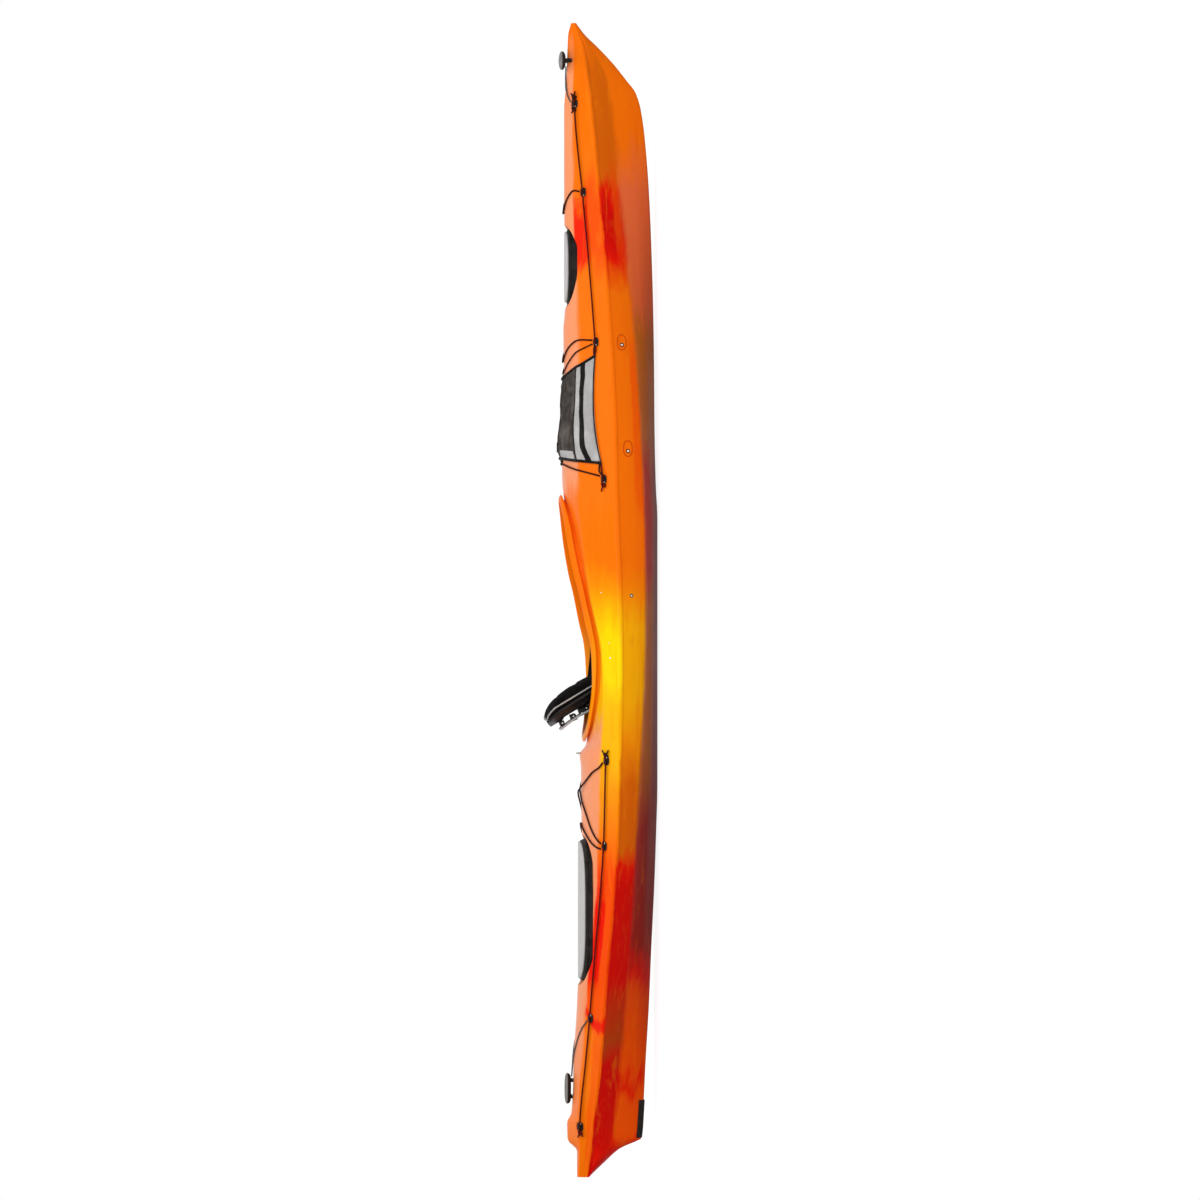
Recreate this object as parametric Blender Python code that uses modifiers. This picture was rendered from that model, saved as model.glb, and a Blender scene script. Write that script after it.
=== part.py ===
"""Day touring kayak: a one-piece moulded hull with its hatches, deck gear, seat and foot braces.

Metres. +X is the bow, +Y is port, +Z is up. The origin is on the keel line at mid length, so the
boat stands on z = 0. The hull is faired from lines given at stations, as on a lines plan:
station 0 is the stern end and station 20 is the bow tip.
"""

import math

import bmesh
import bpy
from mathutils import Matrix, Vector

# Hull
HULL_LENGTH = 4.27
HULL_BEAM = 0.61
HULL_DEPTH = 0.37
WALL = 0.004
WALL_MITRE = 0.5
HOLLOW_LEAST = 0.0015
HOLLOW_AFT = -0.925
HOLLOW_FORE = 0.915
RIDGE_OUT = 0.005
RIDGE_HALF = 0.006
RIDGE_FLARE = 1.8
RIDGE_ROOM = 5
STATIONS = 20
STATION_LEAST = 0.011

# Clearances
SEAT_GAP = 0.0004
SLIDE_GAP = 0.001

# Lines plan. Heights are percent of HULL_DEPTH, breadths are percent of half the beam.
KEEL_HEIGHTS = [
    (0, 68.1), (0.25, 53), (0.5, 36.5), (0.6, 23), (0.65, 16.2), (1, 14.3), (2, 11.4), (3, 8.1),
    (4, 5.7), (5, 3), (6, 1.1), (6.8, 0), (11.4, 0), (12, 1.6), (13, 2.7), (14, 3), (15, 3.8),
    (16, 5.4), (17, 7.8), (18, 12.2), (18.5, 16.2), (18.8, 21.6), (19, 30.3), (19.3, 44.1),
    (19.6, 60.5), (19.8, 72.4), (20, 81.1),
]
CHINE_HEIGHTS = [
    (0, 68.5), (0.5, 50), (1, 44.6), (2, 40), (3, 34.6), (4, 30.4), (5, 27.3), (6, 24.3),
    (7, 21.6), (8, 18.6), (9, 16.5), (10, 15.7), (11, 16.2), (12, 17.8), (13, 20.3), (14, 23.5),
    (15, 28.5), (16, 33.8), (17, 40.5), (18, 44.6), (19, 51.4), (19.6, 67.6), (20, 81.9),
]
GUNWALE_HEIGHTS = [
    (0, 70.2), (0.5, 66.8), (1, 64.1), (2, 58.2), (3, 55), (4, 50.7), (5, 46.5), (6, 43),
    (7, 41.5), (8, 40.8), (9, 40.3), (10, 41.2), (11, 43.2), (12, 45), (13, 45.9), (14, 48.1),
    (15, 51.5), (16, 54.9), (17, 59.6), (18, 63.9), (19, 69.7), (19.6, 75.3), (20, 83),
]
CREASE_HEIGHTS = [
    (0, 78.4), (0.5, 78.6), (1, 80.3), (2, 77), (3, 73.2), (4, 68.9), (5, 63.9), (6, 61.6),
    (7, 61.1), (7.5, 60), (8, 58.5), (8.5, 57.7), (9, 58.5), (9.5, 63.2), (10, 69.7), (10.5, 74.3),
    (11, 78.1), (12, 81.1), (13, 81.5), (14, 81.5), (15, 81.6), (16, 83.2), (17, 85), (18, 85.5),
    (19, 84.3), (19.6, 83.6), (20, 84.4),
]
CENTRE_HEIGHTS = [
    (0, 80), (0.45, 80), (0.65, 89.5), (0.95, 90), (1.1, 85.9), (1.5, 84.1), (2, 83.4), (3, 80),
    (4, 77.6), (5, 75.7), (5.8, 75), (6.5, 75.7), (7.1, 75.9), (7.32, 77.4), (7.5, 70.8),
    (8, 67.6), (9, 64.9), (10, 74.3), (11, 85.4), (11.6, 91.4), (12, 94.6), (12.3, 95.1),
    (13, 91.9), (14, 93.2), (14.8, 93.8), (15, 91.9), (16, 92.4), (17, 93), (18.5, 93), (19, 90.8),
    (19.6, 89.5), (19.8, 88.9), (20, 85.9),
]
GUNWALE_BREADTHS = [
    (0, 12), (0.6, 24.5), (1.5, 41), (3, 63), (4.4, 79.5), (5.8, 91), (7.2, 97.5), (8.8, 100),
    (10.5, 98.7), (12, 93), (13.3, 83.5), (14.7, 70.5), (16, 56), (17.5, 38), (18.7, 22.5),
    (19.4, 13), (20, 4.6),
]
CHINE_SHARES = [
    (0, 0.95), (1, 0.66), (2, 0.66), (3, 0.72), (4, 0.78), (5, 0.83), (6, 0.86), (8, 0.88),
    (11, 0.88), (13, 0.86), (15, 0.8), (16, 0.75), (17, 0.68), (18, 0.62), (19, 0.6), (20, 0.9),
]
CREASE_SHARES = [
    (0, 0.8), (1, 0.72), (2, 0.66), (3, 0.67), (4, 0.71), (5, 0.74), (6, 0.78), (7, 0.81),
    (8, 0.86), (9, 0.88), (10, 0.86), (11, 0.8), (12, 0.68), (13, 0.61), (14, 0.57), (15, 0.57),
    (16, 0.57), (17, 0.54), (18, 0.55), (19, 0.62), (20, 0.7),
]
KEEL_FLAT = 0.045
KEEL_FLAT_SHARES = [
    (0, 0.25), (1, 0.25), (3, 0.45), (5, 0.7), (7, 1), (11.5, 1), (13, 0.75), (15, 0.45),
    (17, 0.27), (19, 0.15), (20, 0.1),
]
LOWER_FACET_OUT = 0.5
LOWER_FACET_UP = 0.42
SIDE_BULGE = 0.004
SIDE_BULGE_FULL = 0.1
CROWN_STEPS = (0.8, 0.52, 0.26)

# Girth: 0 on the deck's centre line, 1 on its crease, 2 at the gunwale
GUNWALE_GIRTH = 2
SLOPE_STEP = 0.01
SLOPE_GIRTH = 0.05
GIRTH_STEP = 0.1

# Coaming: the ring round the cockpit that a spray skirt grips
COAMING_LENGTH = 0.914
COAMING_WIDTH = 0.5
COAMING_CENTRE = -0.068
COAMING_LIP = 0.026
COAMING_LIP_THICKNESS = 0.009
COAMING_WALL = 0.007
COAMING_DROP = 0.013
COAMING_NOSE_TAPER = 0.32
COAMING_POINTS = 48
COAMING_FULLNESS = 0.935
COAMING_POWER = 0.85
LIP_EDGE_IN = 0.004
LIP_EDGE_DOWN = 0.005
LIP_SLOPE = 0.001
LIP_UNDERCUT = 0.003
LIP_HEIGHTS = [
    (0, 77), (0.09, 71.6), (0.246, 68.1), (0.334, 68.8), (0.396, 70.3), (0.476, 74.9), (0.6, 81.3),
    (0.673, 85.9), (0.8, 91.9), (0.93, 96.6), (1, 100),
]

# Hatches
HATCH_RECESS = 0.012
HATCH_SKIRT = 0.004
HATCH_COLLAR = 0.006
HATCH_TOP = 0.004
HATCH_PLATE_INSET = 0.012
HATCH_FLOOR_GAP = 0.0006
HATCH_POINTS = 32
HATCH_RINGS = (0.4, 0.2)
HATCH_EDGE = 0.006
HATCH_EDGE_IN = 0.0015
HATCH_EDGE_DOWN = 0.002
PLATE_EDGE_IN = 0.003
PLATE_EDGE_DOWN = 0.0025
HATCH_COLLAR_ROOT = 4
HATCH_CUT_DEPTH = 0.06
CUT_ABOVE = 0.05
BOW_HATCH = {"centre": 1.232, "length": 0.286, "width": 0.196, "floor": 0.3, "height": 0.031,
             "crown": 0.003, "plate": 0.008, "power": 2.3}
STERN_HATCH = {"centre": -1.147, "length": 0.532, "width": 0.35, "floor": 0.246, "height": 0.025,
               "crown": 0.013, "plate": 0.007, "power": 3.0}

# Bulkheads: closed-cell foam walls that seal the two holds
BULKHEAD_THICKNESS = 0.02
BULKHEAD_GAP = 0.0006
BOW_BULKHEAD_AT = 1.03
STERN_BULKHEAD_AT = -0.6

# Deck eyes and lines. Each eye stands at (x, share of the way up from gunwale to crease).
EYE_PLACES = [(1.835, 0.86), (1.506, 0.55), (0.951, 0.38), (0.444, 0.26),
              (-0.592, 0.6), (-0.9065, 0.6), (-1.543, 0.62), (-1.946, 0.8)]
EYE_LENGTH = 0.034
EYE_WIDTH = 0.024
EYE_BASE = 0.003
EYE_WIRE = 0.004
EYE_REACH = 0.07
EYE_GAP = 0.0008
EYE_BEVEL = 0.0012
ARCH_POWER = 0.6
ARC_STEPS = 8
LINE_DIAMETER = 0.005
LINE_ROOM = 0.0009
LINE_SEAT = 0.0004
LINE_STEP = 0.055
LINE_TAIL = 0.03
BUNGEE_DIAMETER = 0.006
BUNGEE_END_GAP = 0.0006
BUNGEE_STEP = 0.034
BUNGEE_LIFT = 0.0012
BUNGEE_CROSSING = -0.725
CREASE_LIFT = 0.0012
CREASE_REACH = 0.1
HUMP_REACH = 0.03

# Deck bag
BAG_AFT = 0.514
BAG_FRONT_CENTRE = 0.82
BAG_FRONT_CORNER = 0.905
BAG_GIRTH = 1.52
BAG_THICKNESS = 0.034
BAG_EDGE = 0.014
BAG_GAP = 0.0014
BAG_HEM = 0.003
BAG_FRONT_POWER = 1.6
BAG_END_SHARE = 0.15
BAG_END_POWER = 0.45
BAG_SIDE_SHARE = 0.12
BAG_SIDE_POWER = 0.5
BAG_FLAP_STEPS = (0.4, 0.8)

# Carry handles
HANDLE_LENGTH = 0.115
HANDLE_WIDTH = 0.07
HANDLE_PAD = 0.012
HANDLE_CAP = 0.011
HANDLE_FOOT = 0.014
HANDLE_FOOT_SPACING = 0.06
HANDLE_CORD = 0.005
HANDLE_POWER = 2.4
HANDLE_POINTS = 20
HANDLE_UNDERSIDE_IN = 0.02
HANDLE_PAD_ROUND = 0.006
HANDLE_PAD_SIDE = 0.005
HANDLE_CAP_SIDE = 0.004
HANDLE_CAP_ROUND = 0.005
HANDLE_CAP_DOWN = 0.002
HANDLE_CAP_TOP_IN = 0.016
HANDLE_NOSE_IN = 0.012
HANDLE_CORD_STEP = 0.025
BOW_HANDLE_AT = 1.996
BOW_HANDLE_Z = 0.34
STERN_HANDLE_AT = -1.807
STERN_HANDLE_Z = 0.319

# Seat and backrest
SEAT_FRONT = 0.12
SEAT_REAR = -0.25
SEAT_WIDTH = 0.37
SEAT_SHELL = 0.007
SEAT_FLOOR = 0.036
SEAT_SIDE_RISE = 0.1
SEAT_FRONT_RISE = 0.03
SEAT_FLAT_SHARE = 0.72
SEAT_FRONT_REACH = 0.13
SEAT_SIDE_POWER = 1.6
SEAT_FRONT_POWER = 1.8
SEAT_STEPS = (0, 0.3, 0.6, 0.72, 0.82, 0.91, 1)
SEAT_SLOPE_STEP = 0.001
CUSHION_THICKNESS = 0.024
CUSHION_MARGIN = 0.012
CUSHION_WIDTH = 0.255
CUSHION_CLEAR = 0.022
CUSHION_GAP = 0.0009
CUSHION_END = 0.08
CUSHION_WAIST = 0.97
CUSHION_SEAM = 0.78
CUSHION_SIDE = 0.3
CUSHION_UNDER = 0.985
SUPPORT_WIDTH = 0.05
SUPPORT_INNER = 0.075
SUPPORT_REAR_IN = 0.03
SUPPORT_FRONT_IN = 0.15
SUPPORT_GAP = 0.001
BACK_LEAN = math.radians(31)
BACK_HINGE_X = -0.24
BACK_HINGE_Z = 0.1
BACK_HEIGHT = 0.37
BACK_BOTTOM = 0.03
BACK_WIDTH = 0.33
BACK_PLATE = 0.008
BACK_CUSHION = 0.055
BACK_CURVE = 0.042
BACK_TAPER = 0.02
BACK_CORNER = 0.05
BACK_CORNER_STEPS = (0, 0.004, 0.016)
BACK_PAD_RISE = 0.008
BACK_PAD_INSET = 0.012
WINDOW_LOW = 0.25
WINDOW_HIGH = 0.315
WINDOW_WIDTH = 0.14
WINDOW_CORNER = 0.012
ARM_INSET = 0.05
ARM_LENGTH = 0.08
PIN_DIAMETER = 0.008
LUG_RADIUS = 0.013
LUG_THICKNESS = 0.01
PIN_SHORT = 0.04
CHEEK_AFT = 0.02
CHEEK_FORE = 0.03

# Thigh braces
BRACE_FRONT = 0.19
BRACE_REAR = 0.02
BRACE_WIDTH = 0.075
BRACE_THICKNESS = 0.009
BRACE_OUT = 0.02
BRACE_DIP = 0.018
BRACE_GAP = 0.0008

# Foot braces
RAIL_FRONT = 0.97
RAIL_REAR = 0.53
RAIL_Z = 0.132
RAIL_THICKNESS = 0.01
RAIL_HEIGHT = 0.03
RAIL_FOOT = 0.012
RAIL_FOOT_SHARE = 0.03
RAIL_FOOT_HALF = 0.012
RAIL_FOOT_INSET = 0.003
RAIL_FOOT_GAP = 0.0008
PEDAL_AT = 0.7
PEDAL_HEIGHT = 0.1
PEDAL_RAISE = 0.014
PEDAL_WIDTH = 0.062
PEDAL_THICKNESS = 0.01
CARRIAGE_LENGTH = 0.05
CARRIAGE_WALL = 0.006
CARRIAGE_BEVEL = 0.002
PEDAL_BEVEL = 0.003

# Skid plate and security eye
SKID_FRONT = -1.85
SKID_REAR = -1.99
SKID_THICKNESS = 0.004
SKID_RISE = 0.02
SKID_GAP = 0.0015
SECURITY_EYE_AT = -0.567
SECURITY_EYE_WIDTH = 0.034
SECURITY_EYE_RISE = 0.018
SECURITY_EYE_BAR = 0.006
SECURITY_EYE_LIFT = 0.001
SECURITY_EYE_FOOT = 0.002

# Finishes: colour, roughness, metallic
FINISHES = {
    "hull_plastic": ((0.95, 0.3, 0.01), 0.38, 0.0),
    "black_rubber": ((0.02, 0.02, 0.022), 0.7, 0.0),
    "grey_plastic": ((0.42, 0.41, 0.39), 0.55, 0.0),
    "black_plastic": ((0.025, 0.025, 0.027), 0.45, 0.0),
    "grey_foam": ((0.16, 0.16, 0.17), 0.9, 0.0),
    "deck_line": ((0.12, 0.012, 0.02), 0.75, 0.0),
    "bungee_cord": ((0.03, 0.028, 0.03), 0.8, 0.0),
    "bag_fabric": ((0.34, 0.34, 0.34), 0.85, 0.0),
    "seat_fabric": ((0.03, 0.028, 0.028), 0.85, 0.0),
    "stainless": ((0.7, 0.7, 0.68), 0.25, 1.0),
    "aluminium": ((0.6, 0.61, 0.62), 0.35, 1.0),
}


def empty_scene():
    for item in list(bpy.data.objects):
        bpy.data.objects.remove(item)


def new_collection(name):
    collection = bpy.data.collections.new(name)
    bpy.context.scene.collection.children.link(collection)
    return collection


def make_material(name, colour, roughness, metallic):
    material = bpy.data.materials.new(name)
    material.use_nodes = True
    shader = material.node_tree.nodes["Principled BSDF"]
    shader.inputs["Base Color"].default_value = (*colour, 1)
    shader.inputs["Roughness"].default_value = roughness
    shader.inputs["Metallic"].default_value = metallic
    return material


def add_part(name, data, finish):
    """Puts a mesh or curve in the boat's collection, with its own copy of the finish."""
    piece = bpy.data.objects.new(name, data)
    PARTS.objects.link(piece)
    colour, roughness, metallic = FINISHES[finish]
    material = make_material(f"{finish}_{name}", colour, roughness, metallic)
    data.materials.clear()
    data.materials.append(material)
    return piece


def add_cutter(name, data):
    piece = bpy.data.objects.new(name, data)
    CUTTERS.objects.link(piece)
    piece.hide_render = True
    piece.display_type = "WIRE"
    return piece


def combine(piece, tool, operation):
    modifier = piece.modifiers.new(tool.name, "BOOLEAN")
    modifier.operation = operation
    modifier.object = tool
    modifier.solver = "EXACT"


def mirror_halves(piece):
    modifier = piece.modifiers.new("port_and_starboard", "MIRROR")
    modifier.use_axis = (False, True, False)
    modifier.merge_threshold = 0.0001


def smooth(piece, degrees=30):
    piece.data.shade_smooth()
    piece.data.set_sharp_from_angle(angle=math.radians(degrees))


def solid_mesh(piece):
    """The mesh of a curve or of an object with modifiers, with its seams welded."""
    evaluated = piece.evaluated_get(bpy.context.evaluated_depsgraph_get())
    mesh = bpy.data.meshes.new_from_object(evaluated)
    form = bmesh.new()
    form.from_mesh(mesh)
    bmesh.ops.remove_doubles(form, verts=form.verts, dist=0.00002)
    form.to_mesh(mesh)
    form.free()
    return mesh


def loft(name, rows, around=True, ends="caps"):
    """A skin through rows of points. Its ends are closed by caps, or joined to each other."""
    form = bmesh.new()
    rings = [[form.verts.new(point) for point in row] for row in rows]
    count = len(rows[0])
    pairs = list(zip(rings, rings[1:]))
    if ends == "joined":
        pairs.append((rings[-1], rings[0]))
    steps = count if around else count - 1
    for ring, following in pairs:
        for index in range(steps):
            beside = (index + 1) % count
            form.faces.new((ring[index], ring[beside], following[beside], following[index]))
    if ends == "caps":
        form.faces.new(rings[0])
        form.faces.new(rings[-1])
    bmesh.ops.recalc_face_normals(form, faces=form.faces)
    mesh = bpy.data.meshes.new(name)
    form.to_mesh(mesh)
    form.free()
    return mesh


def box_mesh(name, size, bevel=0.0, segments=2):
    form = bmesh.new()
    bmesh.ops.create_cube(form, size=1)
    bmesh.ops.scale(form, vec=size, verts=form.verts)
    if bevel > 0:
        bmesh.ops.bevel(form, geom=form.edges, offset=bevel, segments=segments, affect="EDGES",
                        profile=0.5)
    mesh = bpy.data.meshes.new(name)
    form.to_mesh(mesh)
    form.free()
    return mesh


def rod_mesh(name, radius, length, matrix, sides=20):
    form = bmesh.new()
    bmesh.ops.create_cone(form, cap_ends=True, segments=sides, radius1=radius, radius2=radius,
                          depth=length, matrix=matrix)
    mesh = bpy.data.meshes.new(name)
    form.to_mesh(mesh)
    form.free()
    return mesh


def tube_curve(name, points, diameter, rounding=1):
    curve = bpy.data.curves.new(name, "CURVE")
    curve.dimensions = "3D"
    curve.bevel_depth = diameter / 2
    curve.bevel_resolution = rounding
    curve.use_fill_caps = True
    spline = curve.splines.new("POLY")
    spline.points.add(len(points) - 1)
    for target, point in zip(spline.points, points):
        target.co = (*point, 1)
    return curve


def flat_curve(name, outlines, thickness):
    """A flat plate in the XY plane: the first outline is its edge, the others are holes."""
    curve = bpy.data.curves.new(name, "CURVE")
    curve.dimensions = "2D"
    curve.fill_mode = "BOTH"
    curve.extrude = thickness / 2
    for outline in outlines:
        spline = curve.splines.new("POLY")
        spline.points.add(len(outline) - 1)
        spline.use_cyclic_u = True
        for target, point in zip(spline.points, outline):
            target.co = (point[0], point[1], 0, 1)
    return curve


def fair(points, at):
    """Height or breadth of a hull line at a station: a smooth curve that never overshoots."""
    if at <= points[0][0]:
        return points[0][1]
    if at >= points[-1][0]:
        return points[-1][1]
    index = max(i for i, point in enumerate(points) if point[0] <= at)
    (x0, y0), (x1, y1) = points[index], points[index + 1]
    span = x1 - x0
    t = (at - x0) / span
    start = fair_slope(points, index)
    end = fair_slope(points, index + 1)
    swept = 3 * t * t - 2 * t * t * t
    return (y0 + (y1 - y0) * swept + span * (t - 2 * t * t + t * t * t) * start
            + span * (t * t * t - t * t) * end)


def fair_slope(points, index):
    if index in (0, len(points) - 1):
        near = 0 if index == 0 else index - 1
        return rise_over_run(points[near], points[near + 1])
    before = rise_over_run(points[index - 1], points[index])
    after = rise_over_run(points[index], points[index + 1])
    if before * after <= 0:
        return 0.0
    return 2 * before * after / (before + after)


def rise_over_run(first, second):
    return (second[1] - first[1]) / (second[0] - first[0])


def station(x):
    return STATIONS / 2 + x * STATIONS / HULL_LENGTH


def height(line, x):
    return fair(line, station(x)) * HULL_DEPTH / 100


def gunwale_breadth(x):
    return fair(GUNWALE_BREADTHS, station(x)) * HULL_BEAM / 200


def crease_breadth(x):
    return gunwale_breadth(x) * fair(CREASE_SHARES, station(x))


def bottom_points(x):
    """Half section from the keel to halfway up the side, as (y, z)."""
    keel = height(KEEL_HEIGHTS, x)
    chine = height(CHINE_HEIGHTS, x)
    gunwale = height(GUNWALE_HEIGHTS, x)
    flat = KEEL_FLAT * fair(KEEL_FLAT_SHARES, station(x))
    chine_out = gunwale_breadth(x) * fair(CHINE_SHARES, station(x))
    lower_out = flat + (chine_out - flat) * LOWER_FACET_OUT
    lower = keel + (chine - keel) * LOWER_FACET_UP
    bulge = SIDE_BULGE * min(1, gunwale_breadth(x) / SIDE_BULGE_FULL)
    side_out = (chine_out + gunwale_breadth(x)) / 2 + bulge
    side = (chine + gunwale) / 2
    return [(0, keel), (flat, keel), (lower_out, lower), (chine_out, chine), (side_out, side)]


def deck_points(x):
    """Half section from the deck's crease to its centre line, as (y, z)."""
    crease = height(CREASE_HEIGHTS, x)
    centre = height(CENTRE_HEIGHTS, x)
    out = crease_breadth(x)
    crown = [(out * step, crease + (centre - crease) * (1 - step * step)) for step in CROWN_STEPS]
    return [(out, crease), *crown, (0, centre)]


def ridge_points(x):
    """The raised mould line round the gunwale, thinner where the hull runs out to its ends."""
    out = gunwale_breadth(x)
    level = height(GUNWALE_HEIGHTS, x)
    room = min(level - height(CHINE_HEIGHTS, x), height(CREASE_HEIGHTS, x) - level)
    size = min(1, room / (RIDGE_HALF * RIDGE_ROOM))
    half = RIDGE_HALF * size
    base = out - RIDGE_OUT * size
    return [(base, level - half * RIDGE_FLARE), (out, level - half), (out, level + half),
            (base, level + half * RIDGE_FLARE)]


def outer_half(x):
    return bottom_points(x) + ridge_points(x) + deck_points(x)


def inner_half(x, depth):
    """The half section moved inwards by depth, without the ridge."""
    waist = (gunwale_breadth(x) - RIDGE_OUT, height(GUNWALE_HEIGHTS, x))
    line = bottom_points(x) + [waist] + deck_points(x)
    result = [(0, line[0][1] + depth)]
    for before, here, after in zip(line, line[1:], line[2:]):
        first = (Vector(here) - Vector(before)).normalized()
        second = (Vector(after) - Vector(here)).normalized()
        inward = Vector((-first.y - second.y, first.x + second.x)).normalized()
        square = max(WALL_MITRE, inward.dot(Vector((-first.y, first.x))))
        moved = Vector(here) + inward * (depth / square)
        result.append((max(HOLLOW_LEAST, moved.x), moved.y))
    result.append((0, line[-1][1] - depth))
    return result


def half_row(x, half):
    return [(x, y, z) for y, z in half]


def height_on(half, y, upper):
    """Height at which an upper or lower part of a half section passes a breadth."""
    points = half if not upper else half[::-1]
    best = points[0][1]
    for (y0, z0), (y1, z1) in zip(points, points[1:]):
        if y0 <= y <= y1 and y1 > y0:
            return z0 + (z1 - z0) * (y - y0) / (y1 - y0)
        best = z1
    return best


def between_sections(x, measure):
    """A measure taken on the hull's flat facets: read at the sections on each side of x and
    shared between them."""
    after = min(i for i, place in enumerate(PLACES) if place >= min(x, PLACES[-1]))
    first, last = PLACES[max(0, after - 1)], PLACES[max(1, after)]
    share = (x - first) / (last - first)
    return measure(first) * (1 - share) + measure(last) * share


def deck_height(x, y):
    return between_sections(
        x, lambda at: height_on(ridge_points(at)[2:] + deck_points(at), abs(y), True))


def floor_height(x, y):
    return between_sections(x, lambda at: height_on(inner_half(at, WALL)[:4], abs(y), False))


def inner_breadth(x, z):
    """Breadth of the hollow at a height on the hull's side."""
    return between_sections(x, lambda at: breadth_on(inner_half(at, WALL)[1:8], z))


def breadth_on(half, z):
    for (y0, z0), (y1, z1) in zip(half, half[1:]):
        if z0 <= z <= z1 and z1 > z0:
            return y0 + (y1 - y0) * (z - z0) / (z1 - z0)
    return half[4][0]


def deck_point(x, girth):
    """A point on the deck. Girth is 0 on the centre line, 1 on the crease, 2 at the gunwale,
    and negative to starboard."""
    point = between_sections(x, lambda at: section_point(at, abs(girth)))
    point.y *= math.copysign(1, girth)
    return point


def section_point(x, reach):
    crease = crease_breadth(x)
    if reach <= 1:
        return Vector((x, reach * crease, height_on(deck_points(x), reach * crease, True)))
    foot = ridge_points(x)[3]
    share = GUNWALE_GIRTH - reach
    y = foot[0] + (crease - foot[0]) * share
    z = foot[1] + (height(CREASE_HEIGHTS, x) - foot[1]) * share
    return Vector((x, y, z))


def deck_normal(x, girth):
    along = deck_point(x + SLOPE_STEP, girth) - deck_point(x - SLOPE_STEP, girth)
    across = deck_point(x, girth + SLOPE_GIRTH) - deck_point(x, girth - SLOPE_GIRTH)
    return along.cross(across).normalized()


def above_deck(x, girth, lift):
    return deck_point(x, girth) + deck_normal(x, girth) * lift


def evenly(first, last, count):
    return [first + (last - first) * index / count for index in range(count + 1)]


def hull_stations():
    """Places of the hull's sections: the ends, each eye and bulkhead, then even ones between,
    closer together at the ends and behind the cockpit."""
    half = HULL_LENGTH / 2
    kept = [-half, half, SKID_REAR, SKID_FRONT] + [place for place, _ in EYE_PLACES]
    for bulkhead in (BOW_BULKHEAD_AT, STERN_BULKHEAD_AT):
        kept += [bulkhead - BULKHEAD_THICKNESS / 2, bulkhead + BULKHEAD_THICKNESS / 2]
    wanted = evenly(-half, -half * 0.92, 8) + evenly(half * 0.86, half, 8)
    wanted += evenly(-half * 0.26, -half * 0.2, 3) + evenly(-half, half, 32)
    for place in wanted:
        if min(abs(place - other) for other in kept) > STATION_LEAST:
            kept.append(place)
    return sorted(kept)


def hull_body():
    rows = [half_row(x, outer_half(x)) for x in PLACES]
    piece = add_part("hull_shell", loft("hull_shell", rows, around=False), "hull_plastic")
    mirror_halves(piece)
    return piece


def hull_hollow():
    """The space inside the wall, from near the heel to near the stem."""
    aft = HULL_LENGTH / 2 * HOLLOW_AFT
    fore = HULL_LENGTH / 2 * HOLLOW_FORE
    rows = [half_row(x, inner_half(x, WALL)) for x in PLACES if aft < x < fore]
    piece = add_cutter("hull_hollow", loft("hull_hollow", rows, around=False))
    mirror_halves(piece)
    return piece


def oval_row(centre, length, width, power, inset, level, count=HATCH_POINTS):
    """A ring of points on a rounded oval, inset from its edge."""
    row = []
    for index in range(count):
        angle = 2 * math.pi * index / count
        cosine, sine = math.cos(angle), math.sin(angle)
        x = (length / 2 - inset) * math.copysign(abs(cosine) ** (2 / power), cosine)
        y = (width / 2 - inset) * math.copysign(abs(sine) ** (2 / power), sine)
        row.append((centre + x, y, level))
    return row


def crowned(row, width, crown):
    """Lifts a ring towards the middle, so that a lid sheds water to its sides."""
    half = width / 2
    return [(x, y, z + crown * (1 - min(1, abs(y) / half) ** 2)) for x, y, z in row]


def hatch_ring(hatch, inset, level):
    return oval_row(hatch["centre"], hatch["length"], hatch["width"], hatch["power"], inset, level)


def hatch_prism(name, hatch, inset, low, high):
    rows = [hatch_ring(hatch, inset, low), hatch_ring(hatch, inset, high)]
    return add_cutter(name, loft(name, rows))


def cut_hatch(hull, hollow, name, hatch):
    """A recess in the deck, an opening in its floor and the collar that the cover grips."""
    top = HULL_DEPTH + CUT_ABOVE
    recess = hatch_prism(f"{name}_recess", hatch, -HATCH_RECESS, hatch["floor"], top)
    around = hatch_prism(f"{name}_recess_wall", hatch, -HATCH_RECESS - WALL,
                         hatch["floor"] - WALL, top)
    inner = HATCH_SKIRT + SLIDE_GAP
    opening = hatch_prism(f"{name}_opening", hatch, inner + HATCH_COLLAR / 2,
                          hatch["floor"] - HATCH_CUT_DEPTH, top)
    rim = hatch["floor"] + hatch["height"] - HATCH_TOP - SEAT_GAP
    foot = hatch["floor"] - WALL * HATCH_COLLAR_ROOT
    rows = [hatch_ring(hatch, inner, foot), hatch_ring(hatch, inner, rim),
            hatch_ring(hatch, inner + HATCH_COLLAR, rim),
            hatch_ring(hatch, inner + HATCH_COLLAR, foot)]
    collar = add_cutter(f"{name}_collar", loft(f"{name}_collar", rows, ends="joined"))
    combine(hollow, around, "DIFFERENCE")
    combine(hull, recess, "DIFFERENCE")
    return opening, collar


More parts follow.
